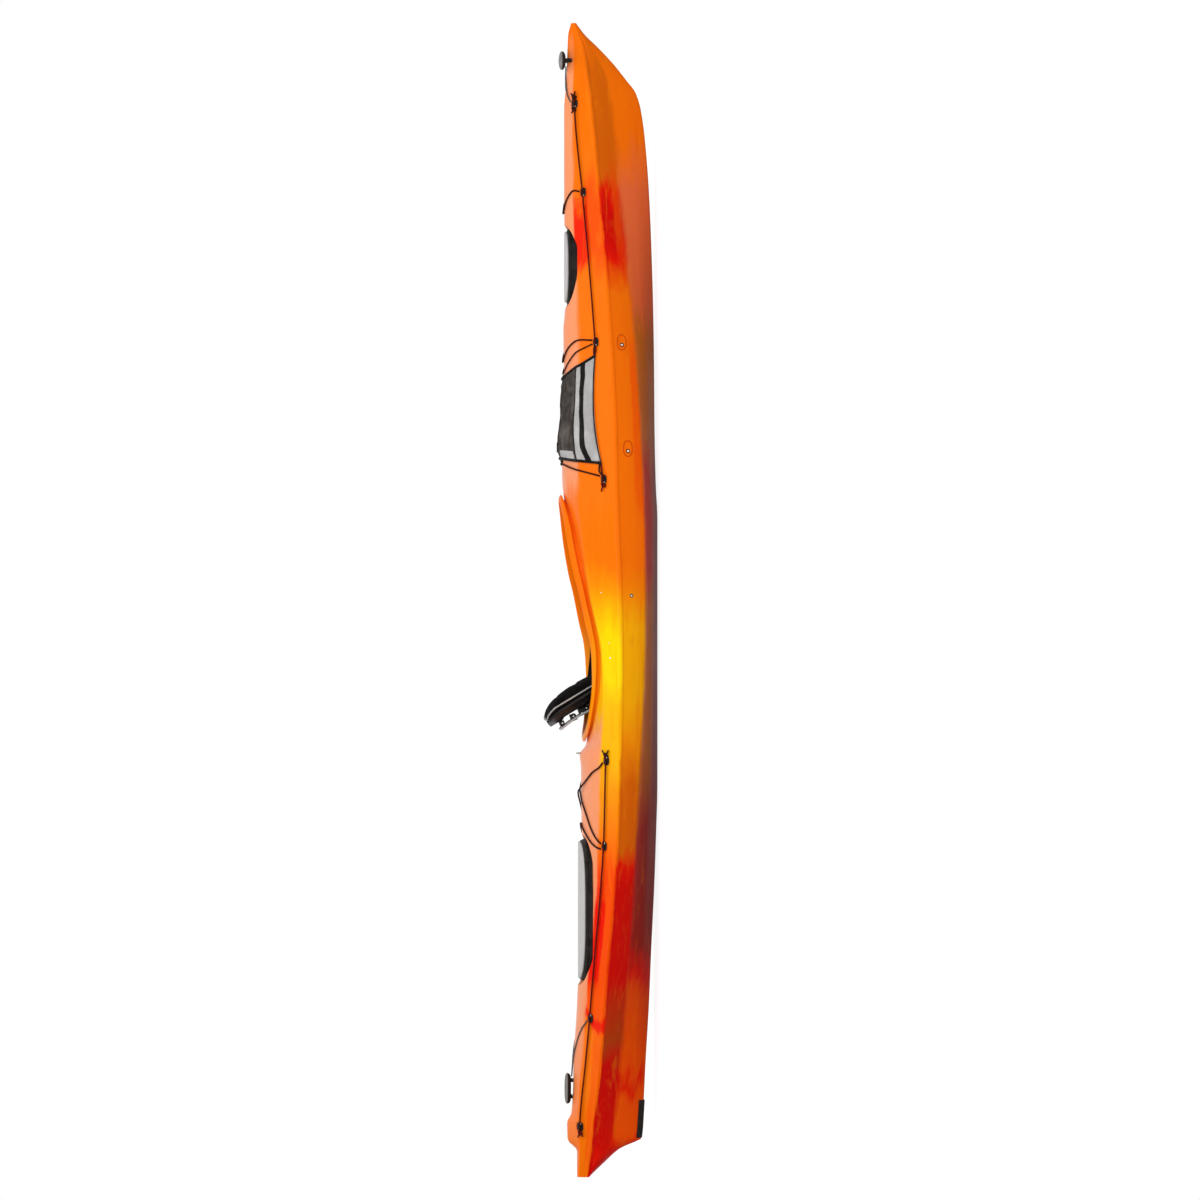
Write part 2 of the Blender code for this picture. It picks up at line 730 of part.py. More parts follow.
def hatch_lid(name, hatch):
    """A rubber cover with a skirt that snaps over the collar, and its hard top plate."""
    floor = hatch["floor"] + HATCH_FLOOR_GAP
    top = hatch["floor"] + hatch["height"]
    under = top - HATCH_TOP
    inmost, inner = [hatch["width"] * share for share in HATCH_RINGS]
    cover_path = [(inmost, top), (inner, top), (HATCH_EDGE, top),
                  (HATCH_EDGE_IN, top - HATCH_EDGE_DOWN), (0, top - HATCH_EDGE), (0, floor),
                  (HATCH_SKIRT, floor), (HATCH_SKIRT, under), (inner, under), (inmost, under)]
    rows = []
    for inset, level in cover_path:
        row = hatch_ring(hatch, inset, level)
        high = level > floor and inset >= HATCH_SKIRT
        rows.append(crowned(row, hatch["width"], hatch["crown"] if high else 0))
    cover = add_part(f"{name}_cover", loft(f"{name}_cover", rows), "black_rubber")
    base = top + SEAT_GAP
    high = base + hatch["plate"]
    plate_path = [(inmost, base), (inner, base), (HATCH_PLATE_INSET, base),
                  (HATCH_PLATE_INSET, high - PLATE_EDGE_DOWN),
                  (HATCH_PLATE_INSET + PLATE_EDGE_IN, high), (inner, high), (inmost, high)]
    rows = [crowned(hatch_ring(hatch, inset, level), hatch["width"], hatch["crown"])
            for inset, level in plate_path]
    plate = add_part(f"{name}_plate", loft(f"{name}_plate", rows), "grey_plastic")
    smooth(cover)
    smooth(plate)


def coaming_outline(offset):
    """Plan of the coaming's inner wall, moved outwards by offset, with the lip's share aft to
    fore for each point."""
    length = COAMING_LENGTH - 2 * COAMING_LIP
    width = COAMING_WIDTH - 2 * COAMING_LIP
    plan = []
    for index in range(COAMING_POINTS):
        angle = 2 * math.pi * index / COAMING_POINTS
        cosine, sine = math.cos(angle), math.sin(angle)
        taper = 1 - COAMING_NOSE_TAPER * ((1 + cosine) / 2) ** 2
        y = width / 2 * math.copysign(abs(sine) ** COAMING_POWER, sine)
        y *= taper / COAMING_FULLNESS
        plan.append(Vector((COAMING_CENTRE + length / 2 * cosine, y)))
    moved = []
    for index, point in enumerate(plan):
        along = plan[(index + 1) % COAMING_POINTS] - plan[index - 1]
        outward = Vector((along.y, -along.x)).normalized()
        moved.append(point + outward * offset)
    return moved


def lip_height(x):
    share = (x - COAMING_CENTRE) / COAMING_LENGTH + 0.5
    return fair(LIP_HEIGHTS, share) * HULL_DEPTH / 100


def coaming_row(offset, level):
    return [(p.x, p.y, level(p.x, p.y)) for p in coaming_outline(offset)]


def coaming_ring():
    """Upright wall with an outward lip. It passes down through the deck and stops below it."""
    inner_plan = coaming_outline(0)

    def row(offset, drop_from_lip=None):
        result = []
        for inner, moved in zip(inner_plan, coaming_outline(offset)):
            if drop_from_lip is None:
                level = deck_height(inner.x, inner.y) - WALL - COAMING_DROP
            else:
                level = lip_height(inner.x) - drop_from_lip
            result.append((moved.x, moved.y, level))
        return result

    lip = COAMING_LIP_THICKNESS
    rows = [row(0), row(0, LIP_EDGE_DOWN), row(LIP_EDGE_IN, 0),
            row(COAMING_LIP - LIP_EDGE_IN, LIP_SLOPE), row(COAMING_LIP, LIP_EDGE_DOWN),
            row(COAMING_LIP - LIP_UNDERCUT, lip), row(COAMING_WALL, lip), row(COAMING_WALL)]
    return add_cutter("coaming_ring", loft("coaming_ring", rows, ends="joined"))


def cockpit_opening():
    middle = COAMING_WALL / 2
    low = coaming_row(middle, lambda x, y: height(GUNWALE_HEIGHTS, x))
    high = coaming_row(middle, lambda x, y: HULL_DEPTH + CUT_ABOVE)
    return add_cutter("cockpit_opening", loft("cockpit_opening", [low, high]))


def build_hull():
    hull = hull_body()
    hollow = hull_hollow()
    openings = []
    collars = []
    for name, hatch in (("bow_hatch", BOW_HATCH), ("stern_hatch", STERN_HATCH)):
        opening, collar = cut_hatch(hull, hollow, name, hatch)
        openings.append(opening)
        collars.append(collar)
    combine(hull, hollow, "DIFFERENCE")
    combine(hull, cockpit_opening(), "DIFFERENCE")
    for opening in openings:
        combine(hull, opening, "DIFFERENCE")
    combine(hull, coaming_ring(), "UNION")
    for collar in collars:
        combine(hull, collar, "UNION")
    smooth(hull)


def build_bulkhead(name, at):
    rows = []
    for x in (at - BULKHEAD_THICKNESS / 2, at + BULKHEAD_THICKNESS / 2):
        rows.append(half_row(x, inner_half(x, WALL + BULKHEAD_GAP)))
    piece = add_part(name, loft(name, rows, around=False), "grey_foam")
    mirror_halves(piece)


def eye_mesh():
    """A pad with an arch over the deck line. It lies in its own axes: x along the line,
    y up the deck, z off the deck."""
    pad = add_cutter("eye_pad", box_mesh("eye_pad", (EYE_LENGTH, EYE_WIDTH, EYE_BASE), EYE_BEVEL, 1))
    pad.location.z = EYE_BASE / 2
    clear = LINE_DIAMETER + 2 * LINE_ROOM
    top = EYE_BASE / 2 + clear + EYE_WIRE / 2
    spread = clear / 2 + LINE_ROOM + EYE_WIRE / 2
    points = []
    for index in range(ARC_STEPS + 1):
        angle = math.pi * index / ARC_STEPS
        rise = top * math.sin(angle) ** ARCH_POWER
        points.append((0, math.cos(angle) * spread, EYE_BASE / 2 + rise))
    bow = bpy.data.objects.new("eye_arch_wire", tube_curve("eye_arch_wire", points, EYE_WIRE))
    CUTTERS.objects.link(bow)
    arch = add_cutter("eye_arch", solid_mesh(bow))
    bpy.data.objects.remove(bow)
    combine(pad, arch, "UNION")
    bpy.context.view_layer.update()
    mesh = solid_mesh(pad)
    mesh.transform(Matrix.Translation((0, 0, EYE_BASE / 2)))
    return mesh


def deck_frame(x, girth, lift):
    """Axes on the deck: x along the boat, z off the deck, lifted clear of its highest corner."""
    normal = deck_normal(x, girth)
    along = deck_point(x + SLOPE_STEP, girth) - deck_point(x - SLOPE_STEP, girth)
    along = (along - normal * along.dot(normal)).normalized()
    across = normal.cross(along)
    centre = deck_point(x, girth)
    rise = 0.0
    for ahead in (-EYE_LENGTH / 2, 0, EYE_LENGTH / 2):
        for aside in (-EYE_REACH, 0, EYE_REACH):
            corner = deck_point(x + ahead, girth + aside)
            rise = max(rise, (corner - centre).dot(normal))
    frame = Matrix((along, across, normal)).transposed().to_4x4()
    frame.translation = centre + normal * (lift + rise)
    return frame


def build_eyes():
    mesh = eye_mesh()
    for number, (x, share) in enumerate(EYE_PLACES, start=1):
        for side, sign in (("port", 1), ("starboard", -1)):
            piece = add_part(f"deck_eye_{number}_{side}", mesh.copy(), "black_plastic")
            piece.matrix_world = deck_frame(x, sign * (GUNWALE_GIRTH - share), EYE_GAP)
            smooth(piece, 40)


def split_at_crease(stops):
    """Adds a stop wherever a route passes the crease, so that it bends there and nowhere else."""
    result = [stops[0]]
    for (x0, g0), (x1, g1) in zip(stops, stops[1:]):
        for edge in (1, -1) if g0 > g1 else (-1, 1):
            if min(g0, g1) < edge < max(g0, g1):
                share = (edge - g0) / (g1 - g0)
                result.append((x0 + (x1 - x0) * share, edge))
        result.append((x1, g1))
    return result


def deck_route(stops, lift, step=LINE_STEP, hump_at=0.0, hump=0.0):
    """Points over the deck through stops given as (x, girth). A hump carries the line over
    another one that it crosses."""
    points = []
    stops = split_at_crease(stops)
    for (x0, g0), (x1, g1) in zip(stops, stops[1:]):
        span = (deck_point(x1, g1) - deck_point(x0, g0)).length
        count = max(1, round(span / step))
        for index in range(count):
            share = index / count
            points.append((x0 + (x1 - x0) * share, g0 + (g1 - g0) * share))
    points.append(stops[-1])
    route = []
    for x, girth in points:
        over = hump * math.exp(-((x - hump_at) / HUMP_REACH) ** 2)
        corner = CREASE_LIFT * math.exp(-((abs(girth) - 1) / CREASE_REACH) ** 2)
        route.append(above_deck(x, girth, lift + over + corner))
    return route


def eye_girth(number):
    return GUNWALE_GIRTH - EYE_PLACES[number - 1][1]


def build_perimeter_lines():
    """Grab lines that run through the eyes along each side, fore and aft of the cockpit."""
    lift = EYE_GAP + EYE_BASE + LINE_SEAT + LINE_DIAMETER / 2
    for name, numbers in (("fore_line", (1, 2, 3, 4)), ("aft_line", (5, 6, 7, 8))):
        for side, sign in (("port", 1), ("starboard", -1)):
            stops = []
            for number in numbers:
                stops.append((EYE_PLACES[number - 1][0], sign * eye_girth(number)))
            first, last = stops[0], stops[-1]
            reach = LINE_TAIL if first[0] > last[0] else -LINE_TAIL
            stops = [(first[0] + abs(reach), first[1]), *stops, (last[0] - abs(reach), last[1])]
            route = deck_route(stops, lift)
            curve = tube_curve(f"{name}_{side}", route, LINE_DIAMETER)
            add_part(f"{name}_{side}", curve, "deck_line")


def bungee_end(number, toward):
    """Place where a bungee meets an eye: beside the eye's pad, up the deck from it."""
    x, _ = EYE_PLACES[number - 1]
    reach = EYE_WIDTH / 2 + BUNGEE_DIAMETER / 2 + BUNGEE_END_GAP
    girth = eye_girth(number)
    step = (deck_point(x, girth) - deck_point(x, girth - GIRTH_STEP)).length / GIRTH_STEP
    return (x + toward, girth - reach / step)


def build_bungee(name, stops, lift):
    curve = tube_curve(name, deck_route(stops, lift, BUNGEE_STEP), BUNGEE_DIAMETER)
    add_part(name, curve, "bungee_cord")


def mirrored(stops):
    return stops + [(x, -girth) for x, girth in stops[-2::-1]]


def build_bungees():
    lift = BUNGEE_DIAMETER / 2 + BUNGEE_LIFT
    fore = bungee_end(2, -0.004)
    build_bungee("fore_bungee", mirrored([fore, (1.49, 0.95), (1.44, 0.4), (1.428, 0)]), lift)
    upper = bungee_end(3, 0.004)
    build_bungee("bag_bungee_front", mirrored([upper, (0.945, 1), (0.93, 0.6), (0.92, 0)]), lift)
    build_bungee("bag_bungee_rear", mirrored([bungee_end(4, 0.004), (0.475, 1), (0.49, 0.5),
                                              (0.495, 0)]), lift)
    bar = bungee_end(6, -0.01)
    build_bungee("aft_bungee_bar", mirrored([bar, (-0.895, 1), (-0.85, 0.6), (-0.832, 0)]), lift)
    start = bungee_end(5, -0.004)
    finish = bungee_end(6, 0.009)
    diagonal = [start, (-0.66, 0.95), (-0.712, 0.3), (BUNGEE_CROSSING, 0.0), (-0.738, -0.3),
                (-0.81, -1.02), (finish[0], -finish[1])]
    build_bungee("aft_bungee_diagonal_low", diagonal, lift)
    over = [(x, -girth) for x, girth in diagonal]
    hump = BUNGEE_DIAMETER + BUNGEE_LIFT
    route = deck_route(over, lift, BUNGEE_STEP, hump_at=BUNGEE_CROSSING, hump=hump)
    curve = tube_curve("aft_bungee_diagonal_high", route, BUNGEE_DIAMETER)
    add_part("aft_bungee_diagonal_high", curve, "bungee_cord")


def bag_front(girth):
    share = abs(girth / BAG_GIRTH) ** BAG_FRONT_POWER
    return BAG_FRONT_CENTRE + (BAG_FRONT_CORNER - BAG_FRONT_CENTRE) * share


def build_bag():
    """A low saddle-shaped bag that follows the deck and hangs down both its sides."""
    flap = [1 + (BAG_GIRTH - 1) * share for share in BAG_FLAP_STEPS]
    half = [0, *CROWN_STEPS[::-1], 1, *flap, BAG_GIRTH]
    girths = [-girth for girth in half[:0:-1]] + half
    shares = [0, 0.012, 0.05, 0.15, 0.32, 0.5, 0.68, 0.85, 0.95, 0.988, 1]
    rows = []
    for share in shares:
        fill = min(1, (min(share, 1 - share) / BAG_END_SHARE)) ** BAG_END_POWER
        under = []
        over = []
        for girth in girths:
            x = BAG_AFT + (bag_front(girth) - BAG_AFT) * share
            side = min(1, (1 - abs(girth) / BAG_GIRTH) / BAG_SIDE_SHARE) ** BAG_SIDE_POWER
            edge = BAG_EDGE - BAG_HEM + (BAG_THICKNESS - BAG_EDGE) * fill
            thick = BAG_HEM + edge * fill * side
            under.append(above_deck(x, girth, BAG_GAP))
            over.append(above_deck(x, girth, BAG_GAP + thick))
        rows.append(under + over[::-1])
    piece = add_part("deck_bag", loft("deck_bag", rows), "bag_fabric")
    smooth(piece, 50)


def build_handle(name, at, base, along, eye_number):
    """A rubber grip with two feet that rest on the deck, held by a cord from a pair of eyes."""
    length, width = (HANDLE_LENGTH, HANDLE_WIDTH) if along else (HANDLE_WIDTH, HANDLE_LENGTH)
    top = base + HANDLE_PAD

    def ring(inset, level):
        return oval_row(at, length, width, HANDLE_POWER, inset, level, HANDLE_POINTS)

    rows = [ring(HANDLE_UNDERSIDE_IN, base), ring(HANDLE_PAD_ROUND, base),
            ring(0, base + HANDLE_PAD_SIDE), ring(0, top)]
    pad = add_part(f"{name}_pad", loft(f"{name}_pad", rows), "black_rubber")
    for index, sign in enumerate((-1, 1)):
        x = at + (sign * HANDLE_FOOT_SPACING / 2 if along else 0)
        y = 0 if along else sign * HANDLE_FOOT_SPACING / 2
        reach = HANDLE_FOOT / 2
        spots = [(x + i * reach, y + j * reach) for i in (-1, 0, 1) for j in (-1, 0, 1)]
        low = max(deck_height(px, py) for px, py in spots) + SEAT_GAP
        tall = base + HANDLE_PAD / 2 - low
        middle = Matrix.Translation((x, y, low + tall / 2))
        foot = add_cutter(f"{name}_foot_{index}", rod_mesh("foot", reach, tall, middle, 16))
        combine(pad, foot, "UNION")
    low = top + SEAT_GAP
    high = low + HANDLE_CAP
    rows = [ring(0.0, low), ring(0, low + HANDLE_CAP_SIDE),
            ring(HANDLE_CAP_ROUND, high - HANDLE_CAP_DOWN), ring(HANDLE_CAP_TOP_IN, high)]
    cap = add_part(f"{name}_cap", loft(f"{name}_cap", rows), "grey_plastic")
    smooth(pad)
    smooth(cap)
    build_handle_cord(name, at, base, length, eye_number)


def build_handle_cord(name, at, base, length, eye_number):
    eye_x = EYE_PLACES[eye_number - 1][0]
    toward = math.copysign(1, eye_x - at)
    nose_x = at + toward * (length / 2 - HANDLE_NOSE_IN)
    lift = HANDLE_CORD / 2 + BUNGEE_LIFT
    nose = Vector((nose_x, 0, base - HANDLE_CORD / 2 - SEAT_GAP))
    gap = nose_x - eye_x
    end = eye_girth(eye_number)
    reach = EYE_WIDTH / 2 + HANDLE_CORD / 2 + BUNGEE_END_GAP
    step = (deck_point(eye_x, end) - deck_point(eye_x, end - GIRTH_STEP)).length / GIRTH_STEP
    end -= reach / step
    stops = [(eye_x + gap * 0.04, end), (eye_x + gap * 0.3, end * 0.6), (eye_x + gap * 0.75, 0.14)]
    half = deck_route(stops, lift, HANDLE_CORD_STEP)
    points = half + [nose] + [Vector((p.x, -p.y, p.z)) for p in half[::-1]]
    add_part(f"{name}_cord", tube_curve(f"{name}_cord", points, HANDLE_CORD), "bungee_cord")


def seat_height(x, y):
    """Top of the seat shell: flat in the middle, raised at the sides and the front edge."""
    side = max(0, (abs(y) / (SEAT_WIDTH / 2) - SEAT_FLAT_SHARE) / (1 - SEAT_FLAT_SHARE))
    front = max(0, (x - (SEAT_FRONT - SEAT_FRONT_REACH)) / SEAT_FRONT_REACH)
    return (SEAT_FLOOR + SEAT_SIDE_RISE * side ** SEAT_SIDE_POWER
            + SEAT_FRONT_RISE * front ** SEAT_FRONT_POWER)


def build_seat_shell():
    xs = evenly(SEAT_REAR, SEAT_FRONT, 14)
    ys = [SEAT_WIDTH / 2 * share for share in SEAT_STEPS]
    rows = []
    for x in xs:
        over = [(x, y, seat_height(x, y)) for y in ys]
        under = []
        for y in ys:
            near, far = seat_height(x, y - SEAT_SLOPE_STEP), seat_height(x, y + SEAT_SLOPE_STEP)
            slope = (far - near) / (2 * SEAT_SLOPE_STEP)
            lean = math.sqrt(1 + slope * slope)
            under.append((x, max(0, y + SEAT_SHELL * slope / lean),
                          seat_height(x, y) - SEAT_SHELL / lean))
        rows.append(over + under[::-1])
    piece = add_part("seat_pan", loft("seat_pan", rows, around=False), "black_plastic")
    mirror_halves(piece)
    smooth(piece, 40)


def build_seat_supports():
    """Foam blocks between the seat shell and the floor of the hull."""
    for side, sign in (("port", 1), ("starboard", -1)):
        rows = []
        for x in evenly(SEAT_REAR + SUPPORT_REAR_IN, SEAT_FRONT - SUPPORT_FRONT_IN, 4):
            ys = evenly(SUPPORT_INNER, SUPPORT_INNER + SUPPORT_WIDTH, 2)
            low = [(x, sign * y, floor_height(x, y) + SUPPORT_GAP) for y in ys]
            high = [(x, sign * y, seat_height(x, y) - SEAT_SHELL - SEAT_GAP) for y in ys[::-1]]
            rows.append(low + high)
        add_part(f"seat_support_{side}", loft(f"seat_support_{side}", rows), "grey_foam")


def cushion_rows(length, width, thickness, channels, count=9):
    """Rows of a crowned pad, lying on z = 0 with x along and y across. The sides are drawn in
    between the corners, and sewn channels cross it."""
    rows = []
    for share in evenly(0, 1, 4 * (channels + 1)):
        phase = math.sin(math.pi * (channels + 1) * share) ** 2
        end = min(share, 1 - share)
        edge = min(1, end / CUSHION_END) ** 0.5
        x = (share - 0.5) * length
        waist = CUSHION_WAIST + (1 - CUSHION_WAIST) * abs(2 * share - 1)
        half = width / 2 * waist * (0.95 + 0.05 * edge)
        high = thickness * (0.5 + 0.5 * edge) * (CUSHION_SEAM + (1 - CUSHION_SEAM) * phase)
        over = []
        for across in evenly(-1, 1, count - 1):
            crown = (1 - abs(across) ** 4) ** 0.5 if abs(across) < 1 else 0
            over.append((x, half * across, high * (CUSHION_SIDE + (1 - CUSHION_SIDE) * crown)))
        under = [(px, py * CUSHION_UNDER, 0) for px, py, _ in over[::-1]]
        rows.append(over + under)
    return rows


def build_seat_cushion():
    """The pad in front of the backrest's cheeks. Its underside follows the seat shell."""
    rear = BACK_HINGE_X + LUG_RADIUS + CUSHION_CLEAR
    front = SEAT_FRONT - CUSHION_MARGIN
    rows = []
    for row in cushion_rows(front - rear, CUSHION_WIDTH, CUSHION_THICKNESS, 3):
        moved = []
        for x, y, z in row:
            place = x + (front + rear) / 2
            moved.append((place, y, seat_height(place, y) + CUSHION_GAP + z))
        rows.append(moved)
    piece = add_part("seat_cushion", loft("seat_cushion", rows), "seat_fabric")
    smooth(piece, 60)


def back_frame():
    """Axes of the backrest: x up along it, y to port, z forward off its face."""
    up = Vector((-math.sin(BACK_LEAN), 0, math.cos(BACK_LEAN)))
    forward = Vector((math.cos(BACK_LEAN), 0, math.sin(BACK_LEAN)))
    frame = Matrix((up, Vector((0, 1, 0)), -forward)).transposed().to_4x4()
    frame.translation = (BACK_HINGE_X, 0, BACK_HINGE_Z)
    return frame


def back_set(y):
    """How far the middle of the backrest is set back from its two wings."""
    return BACK_CURVE * (1 - min(1, abs(y) / (BACK_WIDTH / 2)) ** 2)


def back_half_width(v):
    """Half width of the backrest plate at a height along it, with round corners."""
    share = (v - BACK_BOTTOM) / (BACK_HEIGHT - BACK_BOTTOM)
    half = BACK_WIDTH / 2 - BACK_TAPER * share
    near = min(v - BACK_BOTTOM, BACK_HEIGHT - v)
    if near >= BACK_CORNER:
        return half
    return half - BACK_CORNER + math.sqrt(BACK_CORNER ** 2 - (BACK_CORNER - near) ** 2)


def back_plate_mesh():
    """The curved plate behind the pad, wrapped round the paddler's back."""
    ends = [*BACK_CORNER_STEPS, BACK_CORNER]
    vs = [BACK_BOTTOM + end for end in ends]
    vs += evenly(BACK_BOTTOM + BACK_CORNER, BACK_HEIGHT - BACK_CORNER, 3)[1:-1]
    vs += [BACK_HEIGHT - end for end in ends[::-1]]
    rows = []
    for v in vs:
        ys = [back_half_width(v) * across for across in evenly(-1, 1, 10)]
        front = [(v, y, back_set(y) - BACK_PLATE / 2) for y in ys]
        rear = [(v, y, back_set(y) + BACK_PLATE / 2) for y in ys[::-1]]
        rows.append(front + rear)
    return loft("backrest_frame", rows)


def build_backrest():
    frame = back_frame()
    turn = Matrix.Rotation(math.radians(90), 4, "X")
    piece = add_part("backrest_frame", back_plate_mesh(), "black_plastic")
    piece.matrix_world = frame
    middle = Matrix.Translation(((WINDOW_LOW + WINDOW_HIGH) / 2, 0, BACK_CURVE))
    size = (WINDOW_HIGH - WINDOW_LOW, WINDOW_WIDTH, BACK_CURVE * 2)
    window = add_cutter("back_window", box_mesh("back_window", size, WINDOW_CORNER, 2))
    window.matrix_world = frame @ middle
    combine(piece, window, "DIFFERENCE")
    for side, sign in (("port", 1), ("starboard", -1)):
        place = sign * (BACK_WIDTH / 2 - ARM_INSET)
        arm = bpy.data.objects.new("arm", flat_curve("arm", [arm_outline(place)], LUG_THICKNESS))
        CUTTERS.objects.link(arm)
        bpy.context.view_layer.update()
        tool = add_cutter(f"backrest_arm_{side}", solid_mesh(arm))
        bpy.data.objects.remove(arm)
        tool.matrix_world = frame @ Matrix.Translation((0, place, 0)) @ turn
        combine(piece, tool, "UNION")
    bore = rod_mesh("back_bore", PIN_DIAMETER / 2 + SEAT_GAP, BACK_WIDTH * 1.2, frame @ turn, 20)
    combine(piece, add_cutter("back_bore", bore), "DIFFERENCE")
    smooth(piece)
    build_back_cushion(frame)


def build_back_cushion(frame):
    """The pad on the front of the plate, with its wings forward and three sewn channels."""
    low = BACK_BOTTOM + BACK_PAD_RISE
    tall = BACK_HEIGHT + BACK_PAD_RISE - low
    rows = []
    for row in cushion_rows(tall, BACK_WIDTH - BACK_PAD_INSET, BACK_CUSHION, 3, 11):
        moved = []
        for v, y, depth in row:
            face = back_set(y) - BACK_PLATE / 2 - CUSHION_GAP
            moved.append((v + low + tall / 2, y, face - depth))
        rows.append(moved)
    pad = add_part("backrest_cushion", loft("backrest_cushion", rows), "seat_fabric")
    pad.matrix_world = frame
    smooth(pad, 60)


def arm_outline(place):
    """An arm from the hinge eye at the origin up to the plate, which is set back there."""
    face = back_set(place)
    half = BACK_PLATE / 2
    outline = []
    for step in range(ARC_STEPS + 1):
        angle = math.radians(90 + 180 * step / ARC_STEPS)
        outline.append((LUG_RADIUS * math.cos(angle), LUG_RADIUS * math.sin(angle)))
    outline += [(BACK_BOTTOM, face - half * 0.8), (ARM_LENGTH, face - half * 0.8),
                (ARM_LENGTH, face + half * 2), (BACK_BOTTOM, face + half * 3)]
    return outline


def build_hinge():
    """The pin and the two cheeks on the seat that carry the backrest."""
    turn = Matrix.Rotation(math.radians(90), 4, "X")
    centre = Matrix.Translation((BACK_HINGE_X, 0, BACK_HINGE_Z))
    span = BACK_WIDTH - PIN_SHORT
    pin = rod_mesh("backrest_pin", PIN_DIAMETER / 2, span, centre @ turn, 16)
    smooth(add_part("backrest_pin", pin, "stainless"))
    for side, sign in (("port", 1), ("starboard", -1)):
        y = sign * (BACK_WIDTH / 2 - ARM_INSET - LUG_THICKNESS - SLIDE_GAP)
        foot = SEAT_FLOOR + SEAT_GAP - BACK_HINGE_Z
        outline = [(-CHEEK_AFT, foot), (CHEEK_FORE, foot), (LUG_RADIUS, 0)]
        for step in range(ARC_STEPS + 1):
            angle = math.radians(180 * step / ARC_STEPS)
            outline.append((LUG_RADIUS * math.cos(angle), LUG_RADIUS * math.sin(angle)))
        outline.append((-LUG_RADIUS, -CHEEK_AFT))
        shape = bpy.data.objects.new("cheek", flat_curve("cheek", [outline], LUG_THICKNESS))
        CUTTERS.objects.link(shape)
        bpy.context.view_layer.update()
        cheek = add_part(f"backrest_bracket_{side}", solid_mesh(shape), "black_plastic")
        bpy.data.objects.remove(shape)
        cheek.matrix_world = Matrix.Translation((BACK_HINGE_X, y, BACK_HINGE_Z)) @ turn
        bore = rod_mesh("cheek_bore", PIN_DIAMETER / 2 + SEAT_GAP, BACK_WIDTH, centre @ turn, 20)
        combine(cheek, add_cutter(f"cheek_bore_{side}", bore), "DIFFERENCE")


def build_thigh_braces():
    """Curved pads under the coaming's edge that the thighs press up against."""
    plan = coaming_outline(COAMING_WALL / 2)
    drop = WALL + COAMING_DROP + BRACE_GAP
    for side, sign in (("port", 1), ("starboard", -1)):
        rows = []
        for x in evenly(BRACE_REAR, BRACE_FRONT, 6):
            edge = edge_breadth(plan, x)
            high = deck_height(x, edge) - drop
            upper = []
            for share in evenly(0, 1, 4):
                y = edge + BRACE_OUT - BRACE_WIDTH * share
                upper.append((x, sign * y, high - BRACE_DIP * share * share))
            lower = [(px, py, pz - BRACE_THICKNESS) for px, py, pz in upper[::-1]]
            rows.append(upper + lower)
        piece = add_part(f"thigh_brace_{side}", loft(f"thigh_brace_{side}", rows), "black_plastic")
        smooth(piece)


def edge_breadth(plan, x):
    points = sorted((abs(p.x - x), p.y) for p in plan if p.y > 0)
    (d0, y0), (d1, y1) = points[0], points[1]
    return y0 + (y1 - y0) * d0 / (d0 + d1)


def rail_axes():
    """The rail's line along the inside of the hull: its aft and fore ends, on port."""
    ends = []
    for x in (RAIL_REAR, RAIL_FRONT):
        wall = min(inner_breadth(x, RAIL_Z - RAIL_HEIGHT / 2),
                   inner_breadth(x, RAIL_Z + RAIL_HEIGHT / 2))
        ends.append(Vector((x, wall - RAIL_FOOT - RAIL_THICKNESS / 2, RAIL_Z)))
    return ends


def rail_matrix(sign, share):
    aft, fore = rail_axes()
    along = (fore - aft).normalized()
    along.y *= sign
    place = aft + (fore - aft) * share
    frame = Matrix.Rotation(math.atan2(along.y, along.x), 4, "Z")
    frame.translation = (place.x, sign * place.y, place.z)
    return frame


def build_foot_braces():
    aft, fore = rail_axes()
    length = (fore - aft).length
    for side, sign in (("port", 1), ("starboard", -1)):
        middle = rail_matrix(sign, 0.5)
        bar = box_mesh("rail", (length, RAIL_THICKNESS, RAIL_HEIGHT), 0.001, 1)
        rail = add_part(f"foot_brace_rail_{side}", bar, "aluminium")
        rail.matrix_world = middle
        for end, share in (("aft", RAIL_FOOT_SHARE), ("fore", 1 - RAIL_FOOT_SHARE)):
            frame = rail_matrix(sign, share)
            foot = foot_block(frame, sign)
            combine(rail, add_cutter(f"rail_foot_{side}_{end}", foot), "UNION")
        build_pedal(side, sign)


def foot_block(frame, sign):
    """A spacer from the rail to the inside of the hull."""
    rows = []
    start = RAIL_THICKNESS / 4
    for along in (-RAIL_FOOT_HALF, RAIL_FOOT_HALF):
        low = RAIL_Z - RAIL_HEIGHT / 2 + RAIL_FOOT_INSET
        high = RAIL_Z + RAIL_HEIGHT / 2 - RAIL_FOOT_INSET
        near = frame @ Vector((along, sign * start, 0))
        reach = [inner_breadth(near.x, z) - RAIL_FOOT_GAP for z in (low, high)]
        rows.append([(near.x, near.y, low), (near.x, sign * reach[0], low),
                     (near.x, sign * reach[1], high), (near.x, near.y, high)])
    return loft("rail_foot", rows)


